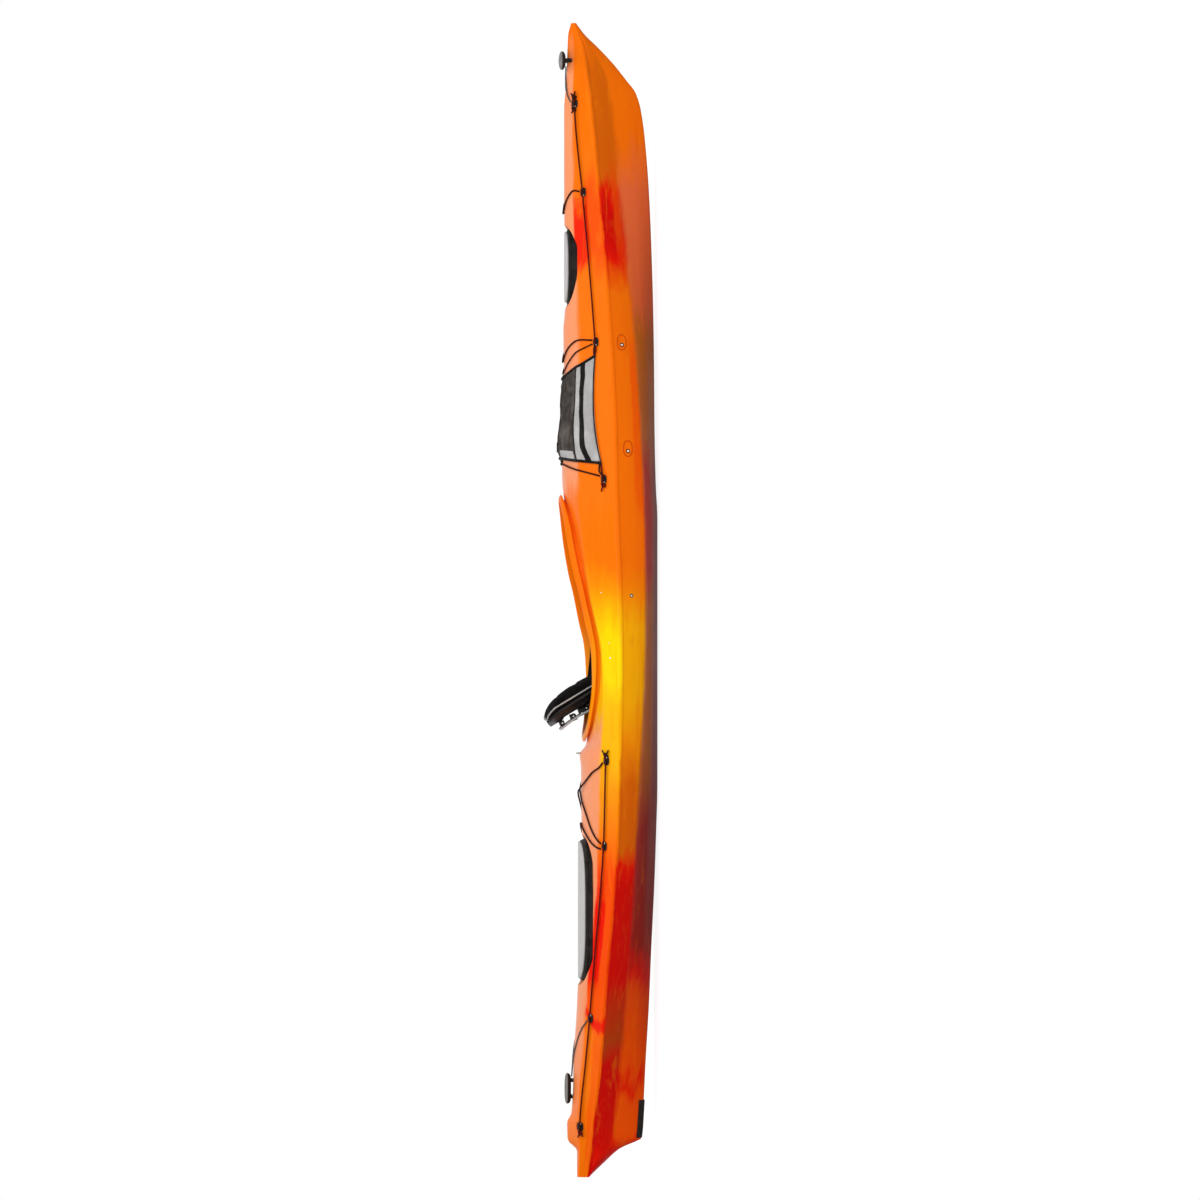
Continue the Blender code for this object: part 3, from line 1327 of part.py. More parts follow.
def build_pedal(side, sign):
    """A foot plate on a carriage that slides along the rail."""
    aft, fore = rail_axes()
    share = (PEDAL_AT - aft.x) / (fore.x - aft.x)
    frame = rail_matrix(sign, share)
    deep = RAIL_THICKNESS + 2 * (SLIDE_GAP + CARRIAGE_WALL)
    tall = RAIL_HEIGHT + 2 * (SLIDE_GAP + CARRIAGE_WALL)
    carriage = box_mesh("carriage", (CARRIAGE_LENGTH, deep, tall), CARRIAGE_BEVEL, 1)
    piece = add_part(f"foot_pedal_{side}", carriage, "black_plastic")
    piece.matrix_world = frame
    size = (PEDAL_THICKNESS, PEDAL_WIDTH, PEDAL_HEIGHT)
    plate = add_cutter(f"pedal_plate_{side}", box_mesh("pedal_plate", size, PEDAL_BEVEL, 2))
    offset = -sign * (deep / 2 + PEDAL_WIDTH / 2 - CARRIAGE_WALL * 0.8)
    lowered = Matrix.Translation((-CARRIAGE_LENGTH / 2, offset, PEDAL_RAISE))
    plate.matrix_world = frame @ lowered
    combine(piece, plate, "UNION")
    slot = add_cutter(f"pedal_slot_{side}", box_mesh("pedal_slot", (CARRIAGE_LENGTH * 3,
                      RAIL_THICKNESS + 2 * SLIDE_GAP, RAIL_HEIGHT + 2 * SLIDE_GAP)))
    slot.matrix_world = frame
    combine(piece, slot, "DIFFERENCE")


def facet_beside_keel(x):
    """The bottom's first facet: breadth and height of its edge at the keel, and its slope."""
    (_, keel), (flat, _), lower = bottom_points(x)[:3]
    return Vector((flat, keel, (lower[1] - keel) / (lower[0] - flat)))


def build_skid_plate():
    """A wear plate wrapped round the keel near the heel."""
    rows = []
    ends = [SKID_REAR, *[x for x in PLACES if SKID_REAR < x < SKID_FRONT], SKID_FRONT]
    for x in ends:
        flat, keel, slope = between_sections(x, facet_beside_keel)
        lean = math.sqrt(1 + slope * slope)
        inside = [(0, keel - SKID_GAP)]
        outside = [(0, keel - SKID_THICKNESS)]
        for rise in (0, SKID_RISE / 2, SKID_RISE):
            y = flat + rise / slope
            inside.append((y + SKID_GAP * slope / lean, keel + rise - SKID_GAP / lean))
            grow = SKID_THICKNESS if rise < SKID_RISE else SKID_THICKNESS / 2
            outside.append((y + grow * slope / lean, keel + rise - grow / lean))
        rows.append(half_row(x, inside + outside[::-1]))
    piece = add_part("skid_plate", loft("skid_plate", rows, around=False), "black_plastic")
    mirror_halves(piece)


def build_security_eye():
    """A bent bar on the deck behind the cockpit that a padlock can pass."""
    half = SECURITY_EYE_WIDTH / 2
    bar = SECURITY_EYE_BAR
    low = deck_height(SECURITY_EYE_AT, half) + SEAT_GAP + SECURITY_EYE_LIFT
    points = [(SECURITY_EYE_AT, -half, low)]
    for step in range(ARC_STEPS + 1):
        angle = math.pi * step / ARC_STEPS
        rise = (SECURITY_EYE_RISE - bar / 2) * math.sin(angle) ** ARCH_POWER
        points.append((SECURITY_EYE_AT, -half * math.cos(angle), low + SECURITY_EYE_FOOT + rise))
    points.append((SECURITY_EYE_AT, half, low))
    add_part("security_eye", tube_curve("security_eye", points, bar, 2), "stainless")


empty_scene()
PARTS = new_collection("touring_kayak")
CUTTERS = new_collection("cutters")
PLACES = hull_stations()
build_hull()
build_bulkhead("bow_bulkhead", BOW_BULKHEAD_AT)
build_bulkhead("stern_bulkhead", STERN_BULKHEAD_AT)
hatch_lid("bow_hatch", BOW_HATCH)
hatch_lid("stern_hatch", STERN_HATCH)
build_eyes()
build_perimeter_lines()
build_bungees()
build_bag()
build_handle("bow_handle", BOW_HANDLE_AT, BOW_HANDLE_Z, False, 1)
build_handle("stern_handle", STERN_HANDLE_AT, STERN_HANDLE_Z, True, 7)
build_seat_shell()
build_seat_supports()
build_seat_cushion()
build_backrest()
build_hinge()
build_thigh_braces()
build_foot_braces()
build_skid_plate()
build_security_eye()
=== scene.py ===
# %% [markdown]
# # A day touring kayak, dressed for the studio
# The boat is a rotomoulded decked kayak: one hollow shell of coloured polyethylene, with rubber
# hatches, cord rigging, a deck bag and a seat fitted to it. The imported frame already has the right
# places and joints for every piece. This lesson makes the surfaces: it rebuilds the shell finely
# from the same lines, replaces the soft and small pieces, and paints everything with procedural
# materials.

import math

import bpy
import bmesh
from mathutils import Matrix, Vector, noise


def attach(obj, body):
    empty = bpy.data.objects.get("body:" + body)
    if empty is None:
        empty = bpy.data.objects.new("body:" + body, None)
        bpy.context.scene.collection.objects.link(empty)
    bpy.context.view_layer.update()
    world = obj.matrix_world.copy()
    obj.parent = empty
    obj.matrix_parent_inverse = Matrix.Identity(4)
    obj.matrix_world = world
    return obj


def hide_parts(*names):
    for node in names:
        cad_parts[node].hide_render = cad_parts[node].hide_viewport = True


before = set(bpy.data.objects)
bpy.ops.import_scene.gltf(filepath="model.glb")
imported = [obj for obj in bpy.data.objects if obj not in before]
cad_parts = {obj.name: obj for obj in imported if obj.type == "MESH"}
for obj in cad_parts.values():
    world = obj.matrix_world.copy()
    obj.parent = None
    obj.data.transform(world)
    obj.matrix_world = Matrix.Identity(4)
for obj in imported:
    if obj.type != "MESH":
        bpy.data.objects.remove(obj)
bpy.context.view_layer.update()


# %% [markdown]
# ## Tools of the bench
# Nearly every piece of a boat is a row of cross sections joined into a skin, or a cord run along
# a path. Two helpers make those meshes from points. A third adds the piece to the scene, rides it
# on the body that carries it, and hides the frame pieces that it stands for.

# %% A skin from rows of points
def skin(name, rows, closed=True, caps=True):
    """Faces between rows of points. Closed rows join their last point to the first."""
    form = bmesh.new()
    rings = [[form.verts.new(point) for point in row] for row in rows]
    count = len(rings[0])
    for ring, after in zip(rings, rings[1:]):
        for index in range(count if closed else count - 1):
            other = (index + 1) % count
            form.faces.new((ring[index], ring[other], after[other], after[index]))
    if caps:
        form.faces.new(rings[0][::-1])
        form.faces.new(rings[-1])
    bmesh.ops.remove_doubles(form, verts=form.verts, dist=0.00002)
    bmesh.ops.recalc_face_normals(form, faces=form.faces)
    mesh = bpy.data.meshes.new(name)
    form.to_mesh(mesh)
    form.free()
    return mesh


def as_smooth(mesh, degrees):
    """Smooth shading, kept crisp at edges that turn by more than the angle."""
    mesh.polygons.foreach_set("use_smooth", [True] * len(mesh.polygons))
    mesh.set_sharp_from_angle(angle=math.radians(degrees))
    mesh.update()
    return mesh


def evenly(first, last, count):
    return [first + (last - first) * index / count for index in range(count + 1)]


def circle(radius, level, count, x=0.0, y=0.0):
    return [(x + radius * math.cos(a), y + radius * math.sin(a), level)
            for a in evenly(0, 2 * math.pi, count)[:-1]]


# %% A piece in the scene
SIDES = (("port", 1), ("starboard", -1))


def add_object(name, data):
    made = bpy.data.objects.new(name, data)
    bpy.context.scene.collection.objects.link(made)
    return made


def add_piece(name, mesh, body, material, stands_for=()):
    """Puts a mesh in the scene as a piece that rides on a body of the boat."""
    piece = add_object(name, mesh)
    if mesh.materials:
        mesh.materials[0] = material
    else:
        mesh.materials.append(material)
    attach(piece, body)
    if stands_for:
        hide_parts(*stands_for)
    return piece


# %% A cord along a path
def along_path(stops, step):
    """Evenly spaced points on a smooth curve through the stops."""
    stops = [Vector(stop) for stop in stops]
    ends = [stops[0] * 2 - stops[1], *stops, stops[-1] * 2 - stops[-2]]
    fine = []
    for before, here, after, beyond in zip(ends, ends[1:], ends[2:], ends[3:]):
        count = max(2, math.ceil((after - here).length / step))
        for index in range(count):
            t = index / count
            fine.append(0.5 * (2 * here + (after - before) * t
                               + (2 * before - 5 * here + 4 * after - beyond) * t * t
                               + (3 * here - before - 3 * after + beyond) * t ** 3))
    fine.append(stops[-1])
    return fine


def cord_mesh(name, stops, radius, step=0.008, sides=10):
    """A round cord. Its UV map runs once round in U and in metres along it in V, so that a braid
    can be drawn on it."""
    path = along_path(stops, step)
    form = bmesh.new()
    uv = form.loops.layers.uv.new("braid")
    side = (path[1] - path[0]).orthogonal().normalized()
    rings, lengths, run = [], [], 0.0
    for index, point in enumerate(path):
        ahead = path[min(index + 1, len(path) - 1)] - path[max(index - 1, 0)]
        ahead.normalize()
        side = (side - ahead * side.dot(ahead)).normalized()
        up = ahead.cross(side)
        run += (point - path[index - 1]).length if index else 0.0
        ring = []
        for turn in range(sides):
            angle = 2 * math.pi * turn / sides
            offset = side * math.cos(angle) + up * math.sin(angle)
            ring.append(form.verts.new(point + offset * radius))
        rings.append(ring)
        lengths.append(run)
    for row in range(len(rings) - 1):
        for turn in range(sides):
            other = (turn + 1) % sides
            face = form.faces.new((rings[row][turn], rings[row][other],
                                   rings[row + 1][other], rings[row + 1][turn]))
            marks = ((turn, row), (turn + 1, row), (turn + 1, row + 1), (turn, row + 1))
            for loop, (around, place) in zip(face.loops, marks):
                loop[uv].uv = (around / sides, lengths[place])
    form.faces.new(rings[0][::-1])
    form.faces.new(rings[-1])
    mesh = bpy.data.meshes.new(name)
    form.to_mesh(mesh)
    form.free()
    return as_smooth(mesh, 60)


# %% [markdown]
# ## The lines of the boat
# A boat is drawn as a few long lines: keel, chine, gunwale, the crease of the deck and its centre
# line. Each is a smooth curve through heights read at stations along the boat. A monotone cubic is
# used because it never swings past its points, which a plain spline does near the steep stem.

# %% Long lines
LENGTH, BEAM, DEPTH = 4.27, 0.61, 0.37
STATIONS = 20
WALL = 0.004

KEEL = [
    (0, 68.1), (0.25, 53), (0.5, 36.5), (0.6, 23), (0.65, 16.2), (1, 14.3), (2, 11.4), (3, 8.1),
    (4, 5.7), (5, 3), (6, 1.1), (6.8, 0), (11.4, 0), (12, 1.6), (13, 2.7), (14, 3), (15, 3.8),
    (16, 5.4), (17, 7.8), (18, 12.2), (18.5, 16.2), (18.8, 21.6), (19, 30.3), (19.3, 44.1),
    (19.6, 60.5), (19.8, 72.4), (20, 81.1),
]
CHINE = [
    (0, 68.5), (0.5, 50), (1, 44.6), (2, 40), (3, 34.6), (4, 30.4), (5, 27.3), (6, 24.3),
    (7, 21.6), (8, 18.6), (9, 16.5), (10, 15.7), (11, 16.2), (12, 17.8), (13, 20.3), (14, 23.5),
    (15, 28.5), (16, 33.8), (17, 40.5), (18, 44.6), (19, 51.4), (19.6, 67.6), (20, 81.9),
]
GUNWALE = [
    (0, 70.2), (0.5, 66.8), (1, 64.1), (2, 58.2), (3, 55), (4, 50.7), (5, 46.5), (6, 43),
    (7, 41.5), (8, 40.8), (9, 40.3), (10, 41.2), (11, 43.2), (12, 45), (13, 45.9), (14, 48.1),
    (15, 51.5), (16, 54.9), (17, 59.6), (18, 63.9), (19, 69.7), (19.6, 75.3), (20, 83),
]
CREASE = [
    (0, 78.4), (0.5, 78.6), (1, 80.3), (2, 77), (3, 73.2), (4, 68.9), (5, 63.9), (6, 61.6),
    (7, 61.1), (7.5, 60), (8, 58.5), (8.5, 57.7), (9, 58.5), (9.5, 63.2), (10, 69.7), (10.5, 74.3),
    (11, 78.1), (12, 81.1), (13, 81.5), (14, 81.5), (15, 81.6), (16, 83.2), (17, 85), (18, 85.5),
    (19, 84.3), (19.6, 83.6), (20, 84.4),
]
CENTRE = [
    (0, 80), (0.45, 80), (0.65, 89.5), (0.95, 90), (1.1, 85.9), (1.5, 84.1), (2, 83.4), (3, 80),
    (4, 77.6), (5, 75.7), (5.8, 75), (6.5, 75.7), (7.1, 75.9), (7.32, 77.4), (7.5, 70.8),
    (8, 67.6), (9, 64.9), (10, 74.3), (11, 85.4), (11.6, 91.4), (12, 94.6), (12.3, 95.1),
    (13, 91.9), (14, 93.2), (14.8, 93.8), (15, 91.9), (16, 92.4), (17, 93), (18.5, 93), (19, 90.8),
    (19.6, 89.5), (19.8, 88.9), (20, 85.9),
]
GUNWALE_OUT = [
    (0, 12), (0.6, 24.5), (1.5, 41), (3, 63), (4.4, 79.5), (5.8, 91), (7.2, 97.5), (8.8, 100),
    (10.5, 98.7), (12, 93), (13.3, 83.5), (14.7, 70.5), (16, 56), (17.5, 38), (18.7, 22.5),
    (19.4, 13), (20, 4.6),
]
CHINE_SHARE = [
    (0, 0.95), (1, 0.66), (2, 0.66), (3, 0.72), (4, 0.78), (5, 0.83), (6, 0.86), (8, 0.88),
    (11, 0.88), (13, 0.86), (15, 0.8), (16, 0.75), (17, 0.68), (18, 0.62), (19, 0.6), (20, 0.9),
]
CREASE_SHARE = [
    (0, 0.8), (1, 0.72), (2, 0.66), (3, 0.67), (4, 0.71), (5, 0.74), (6, 0.78), (7, 0.81),
    (8, 0.86), (9, 0.88), (10, 0.86), (11, 0.8), (12, 0.68), (13, 0.61), (14, 0.57), (15, 0.57),
    (16, 0.57), (17, 0.54), (18, 0.55), (19, 0.62), (20, 0.7),
]
KEEL_FLAT = [
    (0, 0.25), (1, 0.25), (3, 0.45), (5, 0.7), (7, 1), (11.5, 1), (13, 0.75), (15, 0.45),
    (17, 0.27), (19, 0.15), (20, 0.1),
]
print("stations read on the keel:", len(KEEL))


# %% Smooth curves through the stations
def rise_over_run(first, second):
    return (second[1] - first[1]) / (second[0] - first[0])


def slope_at(line, index):
    if index in (0, len(line) - 1):
        near = max(0, index - 1)
        return rise_over_run(line[near], line[near + 1])
    before = rise_over_run(line[index - 1], line[index])
    after = rise_over_run(line[index], line[index + 1])
    return 2 * before * after / (before + after) if before * after > 0 else 0.0


def fair(line, at):
    if at <= line[0][0]:
        return line[0][1]
    if at >= line[-1][0]:
        return line[-1][1]
    index = max(i for i, point in enumerate(line) if point[0] <= at)
    (x0, y0), (x1, y1) = line[index], line[index + 1]
    span = x1 - x0
    t = (at - x0) / span
    swept = 3 * t * t - 2 * t ** 3
    return (y0 + (y1 - y0) * swept + span * (t - 2 * t * t + t ** 3) * slope_at(line, index)
            + span * (t ** 3 - t * t) * slope_at(line, index + 1))


def station(x):
    return STATIONS / 2 + x * STATIONS / LENGTH


def height(line, x):
    return fair(line, station(x)) * DEPTH / 100


def gunwale_out(x):
    return fair(GUNWALE_OUT, station(x)) * BEAM / 200


def crease_out(x):
    return gunwale_out(x) * fair(CREASE_SHARE, station(x))


# %% [markdown]
# ## A cross section with moulded corners
# Plastic can't flow into a sharp corner of a mould, so every crease of a moulded hull is a small
# round. The section starts as straight facets, and each corner is then replaced by a short curve,
# wider where the real edge is softer.

# %% Facets of the half section
RIDGE_OUT, RIDGE_HALF = 0.005, 0.006
CROWN_STEPS = (0.9, 0.8, 0.66, 0.52, 0.39, 0.26, 0.13)


def ridge_corners(x):
    """The raised mould line round the gunwale, fading where the hull runs out to its ends."""
    out, level = gunwale_out(x), height(GUNWALE, x)
    room = min(level - height(CHINE, x), height(CREASE, x) - level)
    size = min(1, room / (RIDGE_HALF * 5))
    half, base = RIDGE_HALF * size, out - RIDGE_OUT * size
    return [(base, level - half * 1.8), (out, level - half), (out, level + half),
            (base, level + half * 1.8)]


def bottom_corners(x):
    keel, chine, gunwale = height(KEEL, x), height(CHINE, x), height(GUNWALE, x)
    flat = 0.045 * fair(KEEL_FLAT, station(x))
    chine_out = gunwale_out(x) * fair(CHINE_SHARE, station(x))
    bulge = 0.004 * min(1, gunwale_out(x) / 0.1)
    return [(0, keel), (flat, keel),
            (flat + (chine_out - flat) * 0.5, keel + (chine - keel) * 0.42), (chine_out, chine),
            ((chine_out + gunwale_out(x)) / 2 + bulge, (chine + gunwale) / 2)]


def deck_corners(x, steps=CROWN_STEPS):
    crease, centre, out = height(CREASE, x), height(CENTRE, x), crease_out(x)
    crown = [(out * step, crease + (centre - crease) * (1 - step * step)) for step in steps]
    return [(out, crease), *crown, (0, centre)]


# %% Rounded corners
ROUNDS = {1: 0.012, 2: 0.016, 3: 0.009, 4: 0.05, 5: 0.002, 6: 0.0025, 7: 0.0025, 8: 0.002, 9: 0.01}


def rounded(corners, rounds):
    """Replaces each listed corner by a curve that starts and ends that far from it."""
    result = []
    for index, corner in enumerate(corners):
        if index not in rounds:
            result.append(corner)
            continue
        here = Vector(corner)
        before, after = Vector(corners[index - 1]), Vector(corners[index + 1])
        back = min(rounds[index], (before - here).length * 0.42)
        ahead = min(rounds[index], (after - here).length * 0.42)
        start = here + (before - here).normalized() * back
        end = here + (after - here).normalized() * ahead
        for t in (0, 1 / 3, 2 / 3, 1):
            bent = start * (1 - t) ** 2 + here * 2 * t * (1 - t) + end * t * t
            result.append((bent.x, bent.y))
    return result


def half_section(x):
    corners = bottom_corners(x) + ridge_corners(x) + deck_corners(x)
    return [(x, y, z) for y, z in rounded(corners, ROUNDS)]


print("points on a half section:", len(half_section(0)))


# %% Places on the deck
def on_crown(x, y):
    """Height of the deck's crowned middle at a breadth."""
    share = min(1, abs(y) / crease_out(x))
    crease, centre = height(CREASE, x), height(CENTRE, x)
    return crease + (centre - crease) * (1 - share * share)


def deck_point(x, girth):
    """A point on the deck. Girth is 0 on the centre line, 1 on the crease and 2 at the gunwale,
    and negative to starboard."""
    reach, side = abs(girth), math.copysign(1, girth)
    if reach <= 1:
        y = reach * crease_out(x)
        return Vector((x, side * y, on_crown(x, y)))
    foot = ridge_corners(x)[3]
    share = 2 - reach
    y = foot[0] + (crease_out(x) - foot[0]) * share
    return Vector((x, side * y, foot[1] + (height(CREASE, x) - foot[1]) * share))


def deck_normal(x, girth):
    along = deck_point(x + 0.008, girth) - deck_point(x - 0.008, girth)
    across = deck_point(x, girth + 0.04) - deck_point(x, girth - 0.04)
    return along.cross(across).normalized()


def above_deck(x, girth, lift):
    return deck_point(x, girth) + deck_normal(x, girth) * lift


# %% [markdown]
# ## Node helpers
# A procedural finish is a small network: coordinates, a pattern, a colour, and a bump. One helper
# adds a node and fills or links its sockets, so that each material below reads from top to bottom.

# %% Laying nodes
def new_finish(name, colour, roughness, metallic=0.0, sheen=0.0, gleam=0.5):
    """A material with one Principled shader. Returns the material, its nodes and the shader."""
    material = bpy.data.materials.new(name)
    material.use_nodes = True
    tree = material.node_tree
    shader = tree.nodes["Principled BSDF"]
    shader.inputs["Base Color"].default_value = (*colour, 1)
    shader.inputs["Roughness"].default_value = roughness
    shader.inputs["Metallic"].default_value = metallic
    shader.inputs["Specular IOR Level"].default_value = gleam
    if sheen:
        shader.inputs["Sheen Weight"].default_value = sheen
        shader.inputs["Sheen Roughness"].default_value = 0.4
    material.diffuse_color = (*colour, 1)
    return material, tree, shader


def lay(tree, kind, values=None, out=0, **settings):
    """Adds a node, sets its settings, fills or links its inputs, and returns one output."""
    made = tree.nodes.new(kind)
    for key, value in settings.items():
        setattr(made, key, value)
    for key, value in (values or {}).items():
        socket = made.inputs[key]
        if isinstance(value, bpy.types.NodeSocket):
            tree.links.new(value, socket)
        else:
            socket.default_value = value
    return made.outputs[out]


def maths(tree, operation, first, second=0.0, third=0.0):
    return lay(tree, "ShaderNodeMath", {0: first, 1: second, 2: third}, operation=operation)


def remap(tree, value, low, high, to_low=0.0, to_high=1.0):
    """A smooth step from one value to another."""
    return lay(tree, "ShaderNodeMapRange", {"Value": value, "From Min": low, "From Max": high,
                                            "To Min": to_low, "To Max": to_high},
               interpolation_type="SMOOTHSTEP")


def mix(tree, share, first, second):
    made = tree.nodes.new("ShaderNodeMix")
    made.data_type = "RGBA"
    for socket, value in ((made.inputs[0], share), (made.inputs[6], first),
                          (made.inputs[7], second)):
        if isinstance(value, bpy.types.NodeSocket):
            tree.links.new(value, socket)
        elif socket.type == "RGBA":
            socket.default_value = (*value, 1)
        else:
            socket.default_value = value
    return made.outputs[2]


def ramp(tree, value, stops):
    """Colours blended along a value."""
    made = tree.nodes.new("ShaderNodeValToRGB")
    elements = made.color_ramp.elements
    while len(elements) > 1:
        elements.remove(elements[0])
    elements[0].position = stops[0][0]
    elements[0].color = (*stops[0][1], 1)
    for place, colour in stops[1:]:
        elements.new(place).color = (*colour, 1)
    tree.links.new(value, made.inputs[0])
    return made.outputs[0]


def cloud(tree, where, scale, detail, rough=0.5, distortion=0.0):
    return lay(tree, "ShaderNodeTexNoise", {"Vector": where, "Scale": scale, "Detail": detail,
                                            "Roughness": rough, "Distortion": distortion})


def bump(tree, height_value, distance, strength, under=None):
    values = {"Height": height_value, "Distance": distance, "Strength": strength}
    if under is not None:
        values["Normal"] = under
    return lay(tree, "ShaderNodeBump", values)


def place_of(tree):
    """Position on the boat, in metres."""
    return lay(tree, "ShaderNodeTexCoord", out=3)


# %% [markdown]
# ## Coloured polyethylene
# The shell is moulded from powders of several colours that melt into each other, so one boat runs
# from orange through yellow to flame red with clouded borders. The colours change along the boat,
# and the bottom, the sides and the deck each have their own run of them. Some runs also carry
# painted light: a pale peach on most of the crown of the deck, on the hatch collars and at the aft
# end of the coaming is a painted reflection, the bottom's olive and maroon are partly painted shade
# and its rose partly a painted reflection of the floor, and the tan of the bow's side is partly
# painted shade. So the material needs two directions: the place along the boat, and the level
# between its long lines. The level is stored on the mesh as an attribute, 0 on the keel, 1 on the
# chine, 2 on the gunwale, 3 on the crease and 4 on the centre line, and noise pushes both about
# before the colours are looked up. The coaming has a level of its own, and so have the rims of the
# oval seats of the screws, beyond the reach of the noise; those rims are a darker orange, painted
# shade at the edge of each dish.

# %% Colours of the shell
def paint(red, green, blue):
    """A colour as it is seen, from 0 to 255, turned into the linear values that a shader takes."""
    shares = (red / 255, green / 255, blue / 255)
    return tuple(c / 12.92 if c <= 0.04045 else ((c + 0.055) / 1.055) ** 2.4 for c in shares)


ORANGE = paint(252, 116, 4)
DEEP_ORANGE = paint(230, 100, 4)
AMBER = paint(252, 146, 4)
YELLOW = paint(252, 184, 4)
SUN = paint(254, 216, 4)
GOLD = paint(253, 176, 5)
TAN = paint(226, 103, 4)
FLAME = paint(240, 20, 2)
RED = paint(222, 10, 2)
DARK_RED = paint(206, 44, 6)
# Olive, on the bottom, is orange partly darkened by painted shade.
OLIVE_AND_SHADE = paint(206, 110, 6)
BURNT = paint(250, 84, 3)
BROWN = paint(190, 66, 8)
# Rose is partly a painted reflection of the pale floor, and maroon is partly painted shade.
ROSE_AND_REFLECTION = paint(238, 112, 60)
MAROON_AND_SHADE = paint(172, 30, 16)
# A pale peach that is a painted reflection of the light from above, not a colour of the plastic.
PEACH_PAINTED_REFLECTION = paint(250, 154, 106)
# A darker orange for the rims of the screws' dishes: painted shade at each dish's edge.
DISH_EDGE_SHADE = paint(212, 82, 4)

DECK_RUN = [
    (2.1, ORANGE), (0.16, ORANGE), (0.03, AMBER), (-0.08, YELLOW), (-0.16, SUN), (-0.3, SUN),
    (-0.42, YELLOW), (-0.58, YELLOW), (-0.74, AMBER), (-0.9, ORANGE), (-1.0, BURNT),
    (-1.12, FLAME), (-1.36, FLAME), (-1.43, BURNT), (-1.52, BURNT), (-1.6, ORANGE),
    (-2.1, ORANGE),
]
# The crown's run: its own orange and yellow, and over most of its length the pale peach of a painted
# reflection.
CROWN_RUN_AND_REFLECTION = [
    (2.1, ORANGE), (1.95, PEACH_PAINTED_REFLECTION), (0.44, PEACH_PAINTED_REFLECTION), (0.36, ORANGE), (0.12, ORANGE), (0.0, AMBER),
    (-0.12, YELLOW), (-0.38, YELLOW), (-0.48, PEACH_PAINTED_REFLECTION), (-1.6, PEACH_PAINTED_REFLECTION), (-2.1, ORANGE),
]
# The coaming's run: its own orange and amber, ending aft in the pale peach of a painted reflection.
COAMING_RUN_AND_REFLECTION = [
    (0.6, ORANGE), (-0.06, ORANGE), (-0.24, AMBER), (-0.45, AMBER), (-0.5, PEACH_PAINTED_REFLECTION),
]
# The tan on the bow's side, under its flare, is partly painted shade.
SIDE_RUN = [
    (2.1, ORANGE), (1.95, TAN), (1.64, TAN), (1.57, DEEP_ORANGE), (1.5, FLAME), (1.44, RED),
    (1.35, RED), (1.26, FLAME), (1.15, ORANGE), (0.14, ORANGE), (0.0, AMBER), (-0.12, GOLD),
    (-0.36, GOLD), (-0.54, AMBER), (-0.72, TAN), (-0.9, TAN), (-0.98, FLAME), (-1.07, RED),
    (-1.42, RED), (-1.5, DARK_RED), (-1.62, BROWN), (-1.74, RED), (-1.98, RED), (-2.06, FLAME),
    (-2.1, RED),
]
# The bottom's run is darker and browner than the plastic: partly painted shade, with a rose that is
# partly a painted reflection of the floor.
BOTTOM_RUN_AND_SHADE = [
    (2.1, ORANGE), (1.68, ORANGE), (1.5, ROSE_AND_REFLECTION), (1.1, ROSE_AND_REFLECTION), (0.98, OLIVE_AND_SHADE), (0.62, OLIVE_AND_SHADE),
    (0.5, DARK_RED), (0.1, DARK_RED), (-0.02, OLIVE_AND_SHADE), (-0.55, OLIVE_AND_SHADE), (-0.85, MAROON_AND_SHADE),
    (-1.3, MAROON_AND_SHADE), (-1.39, FLAME), (-1.45, BURNT), (-1.72, BURNT), (-1.78, FLAME),
    (-1.83, BURNT), (-1.96, BURNT), (-2.03, FLAME), (-2.1, RED),
]

# Patches: from and to along the boat, from and to in level, soft edge, colour and its share.
PATCHES = [
    ((1.26, 1.48), (2.5, 3.02), 0.045, FLAME, 0.95),
    ((1.24, 1.53), (2.0, 2.55), 0.08, FLAME, 0.55),
    ((-1.56, -1.512), (1.92, 3.02), 0.012, FLAME, 0.95),
    # A maroon strip along the keel, partly painted shade.
    ((-1.0, 0.5), (-0.4, 0.34), 0.1, MAROON_AND_SHADE, 0.85),
    ((0.35, 0.95), (1.0, 1.3), 0.08, FLAME, 0.35),
    ((-2.1, -1.58), (2.0, 2.45), 0.06, BURNT, 0.6),
    ((-1.46, -1.04), (1.95, 2.42), 0.05, BURNT, 0.8),
    ((1.3, 1.62), (1.0, 1.35), 0.1, BURNT, 0.6),
]
# The hatch collars' level lies in the crown's run, so they take its painted peach reflection too.
COLLAR_LEVEL, COAMING_LEVEL, SHADED_RIM_LEVEL = 3.2, 5, 6


# %% Noise that pushes the colours about
def run_of(tree, x, colours):
    """Colours along the boat, from places in metres."""
    place = maths(tree, "MULTIPLY_ADD", x, 1 / LENGTH, 0.5)
    stops = sorted((0.5 + spot / LENGTH, colour) for spot, colour in colours)
    return ramp(tree, place, stops)


def clouded(tree, where):
    """The place along the boat and the level, both pushed about by large noise."""
    x = lay(tree, "ShaderNodeSeparateXYZ", {0: where})
    level = lay(tree, "ShaderNodeAttribute", out=2, attribute_name="level")
    long = lay(tree, "ShaderNodeMapping", {0: where, "Scale": (1.4, 4, 5)})
    drift = maths(tree, "SUBTRACT", cloud(tree, long, 2.2, 5, 0.6, 1.0), 0.5)
    lift = maths(tree, "SUBTRACT", cloud(tree, long, 5.0, 4, 0.6, 0.5), 0.5)
    return maths(tree, "MULTIPLY_ADD", drift, 0.3, x), maths(tree, "MULTIPLY_ADD", lift, 0.3, level)


def patch_on(tree, x, level, along, between, soft):
    """A mask that is 1 on a stretch of the boat between two levels."""
    mask = remap(tree, x, along[0] - soft, along[0] + soft)
    for value, low, high in ((x, along[1] + soft, along[1] - soft),
                             (level, between[0] - 0.06, between[0] + 0.06),
                             (level, between[1] + 0.06, between[1] - 0.06)):
        mask = maths(tree, "MULTIPLY", mask, remap(tree, value, low, high))
    return mask


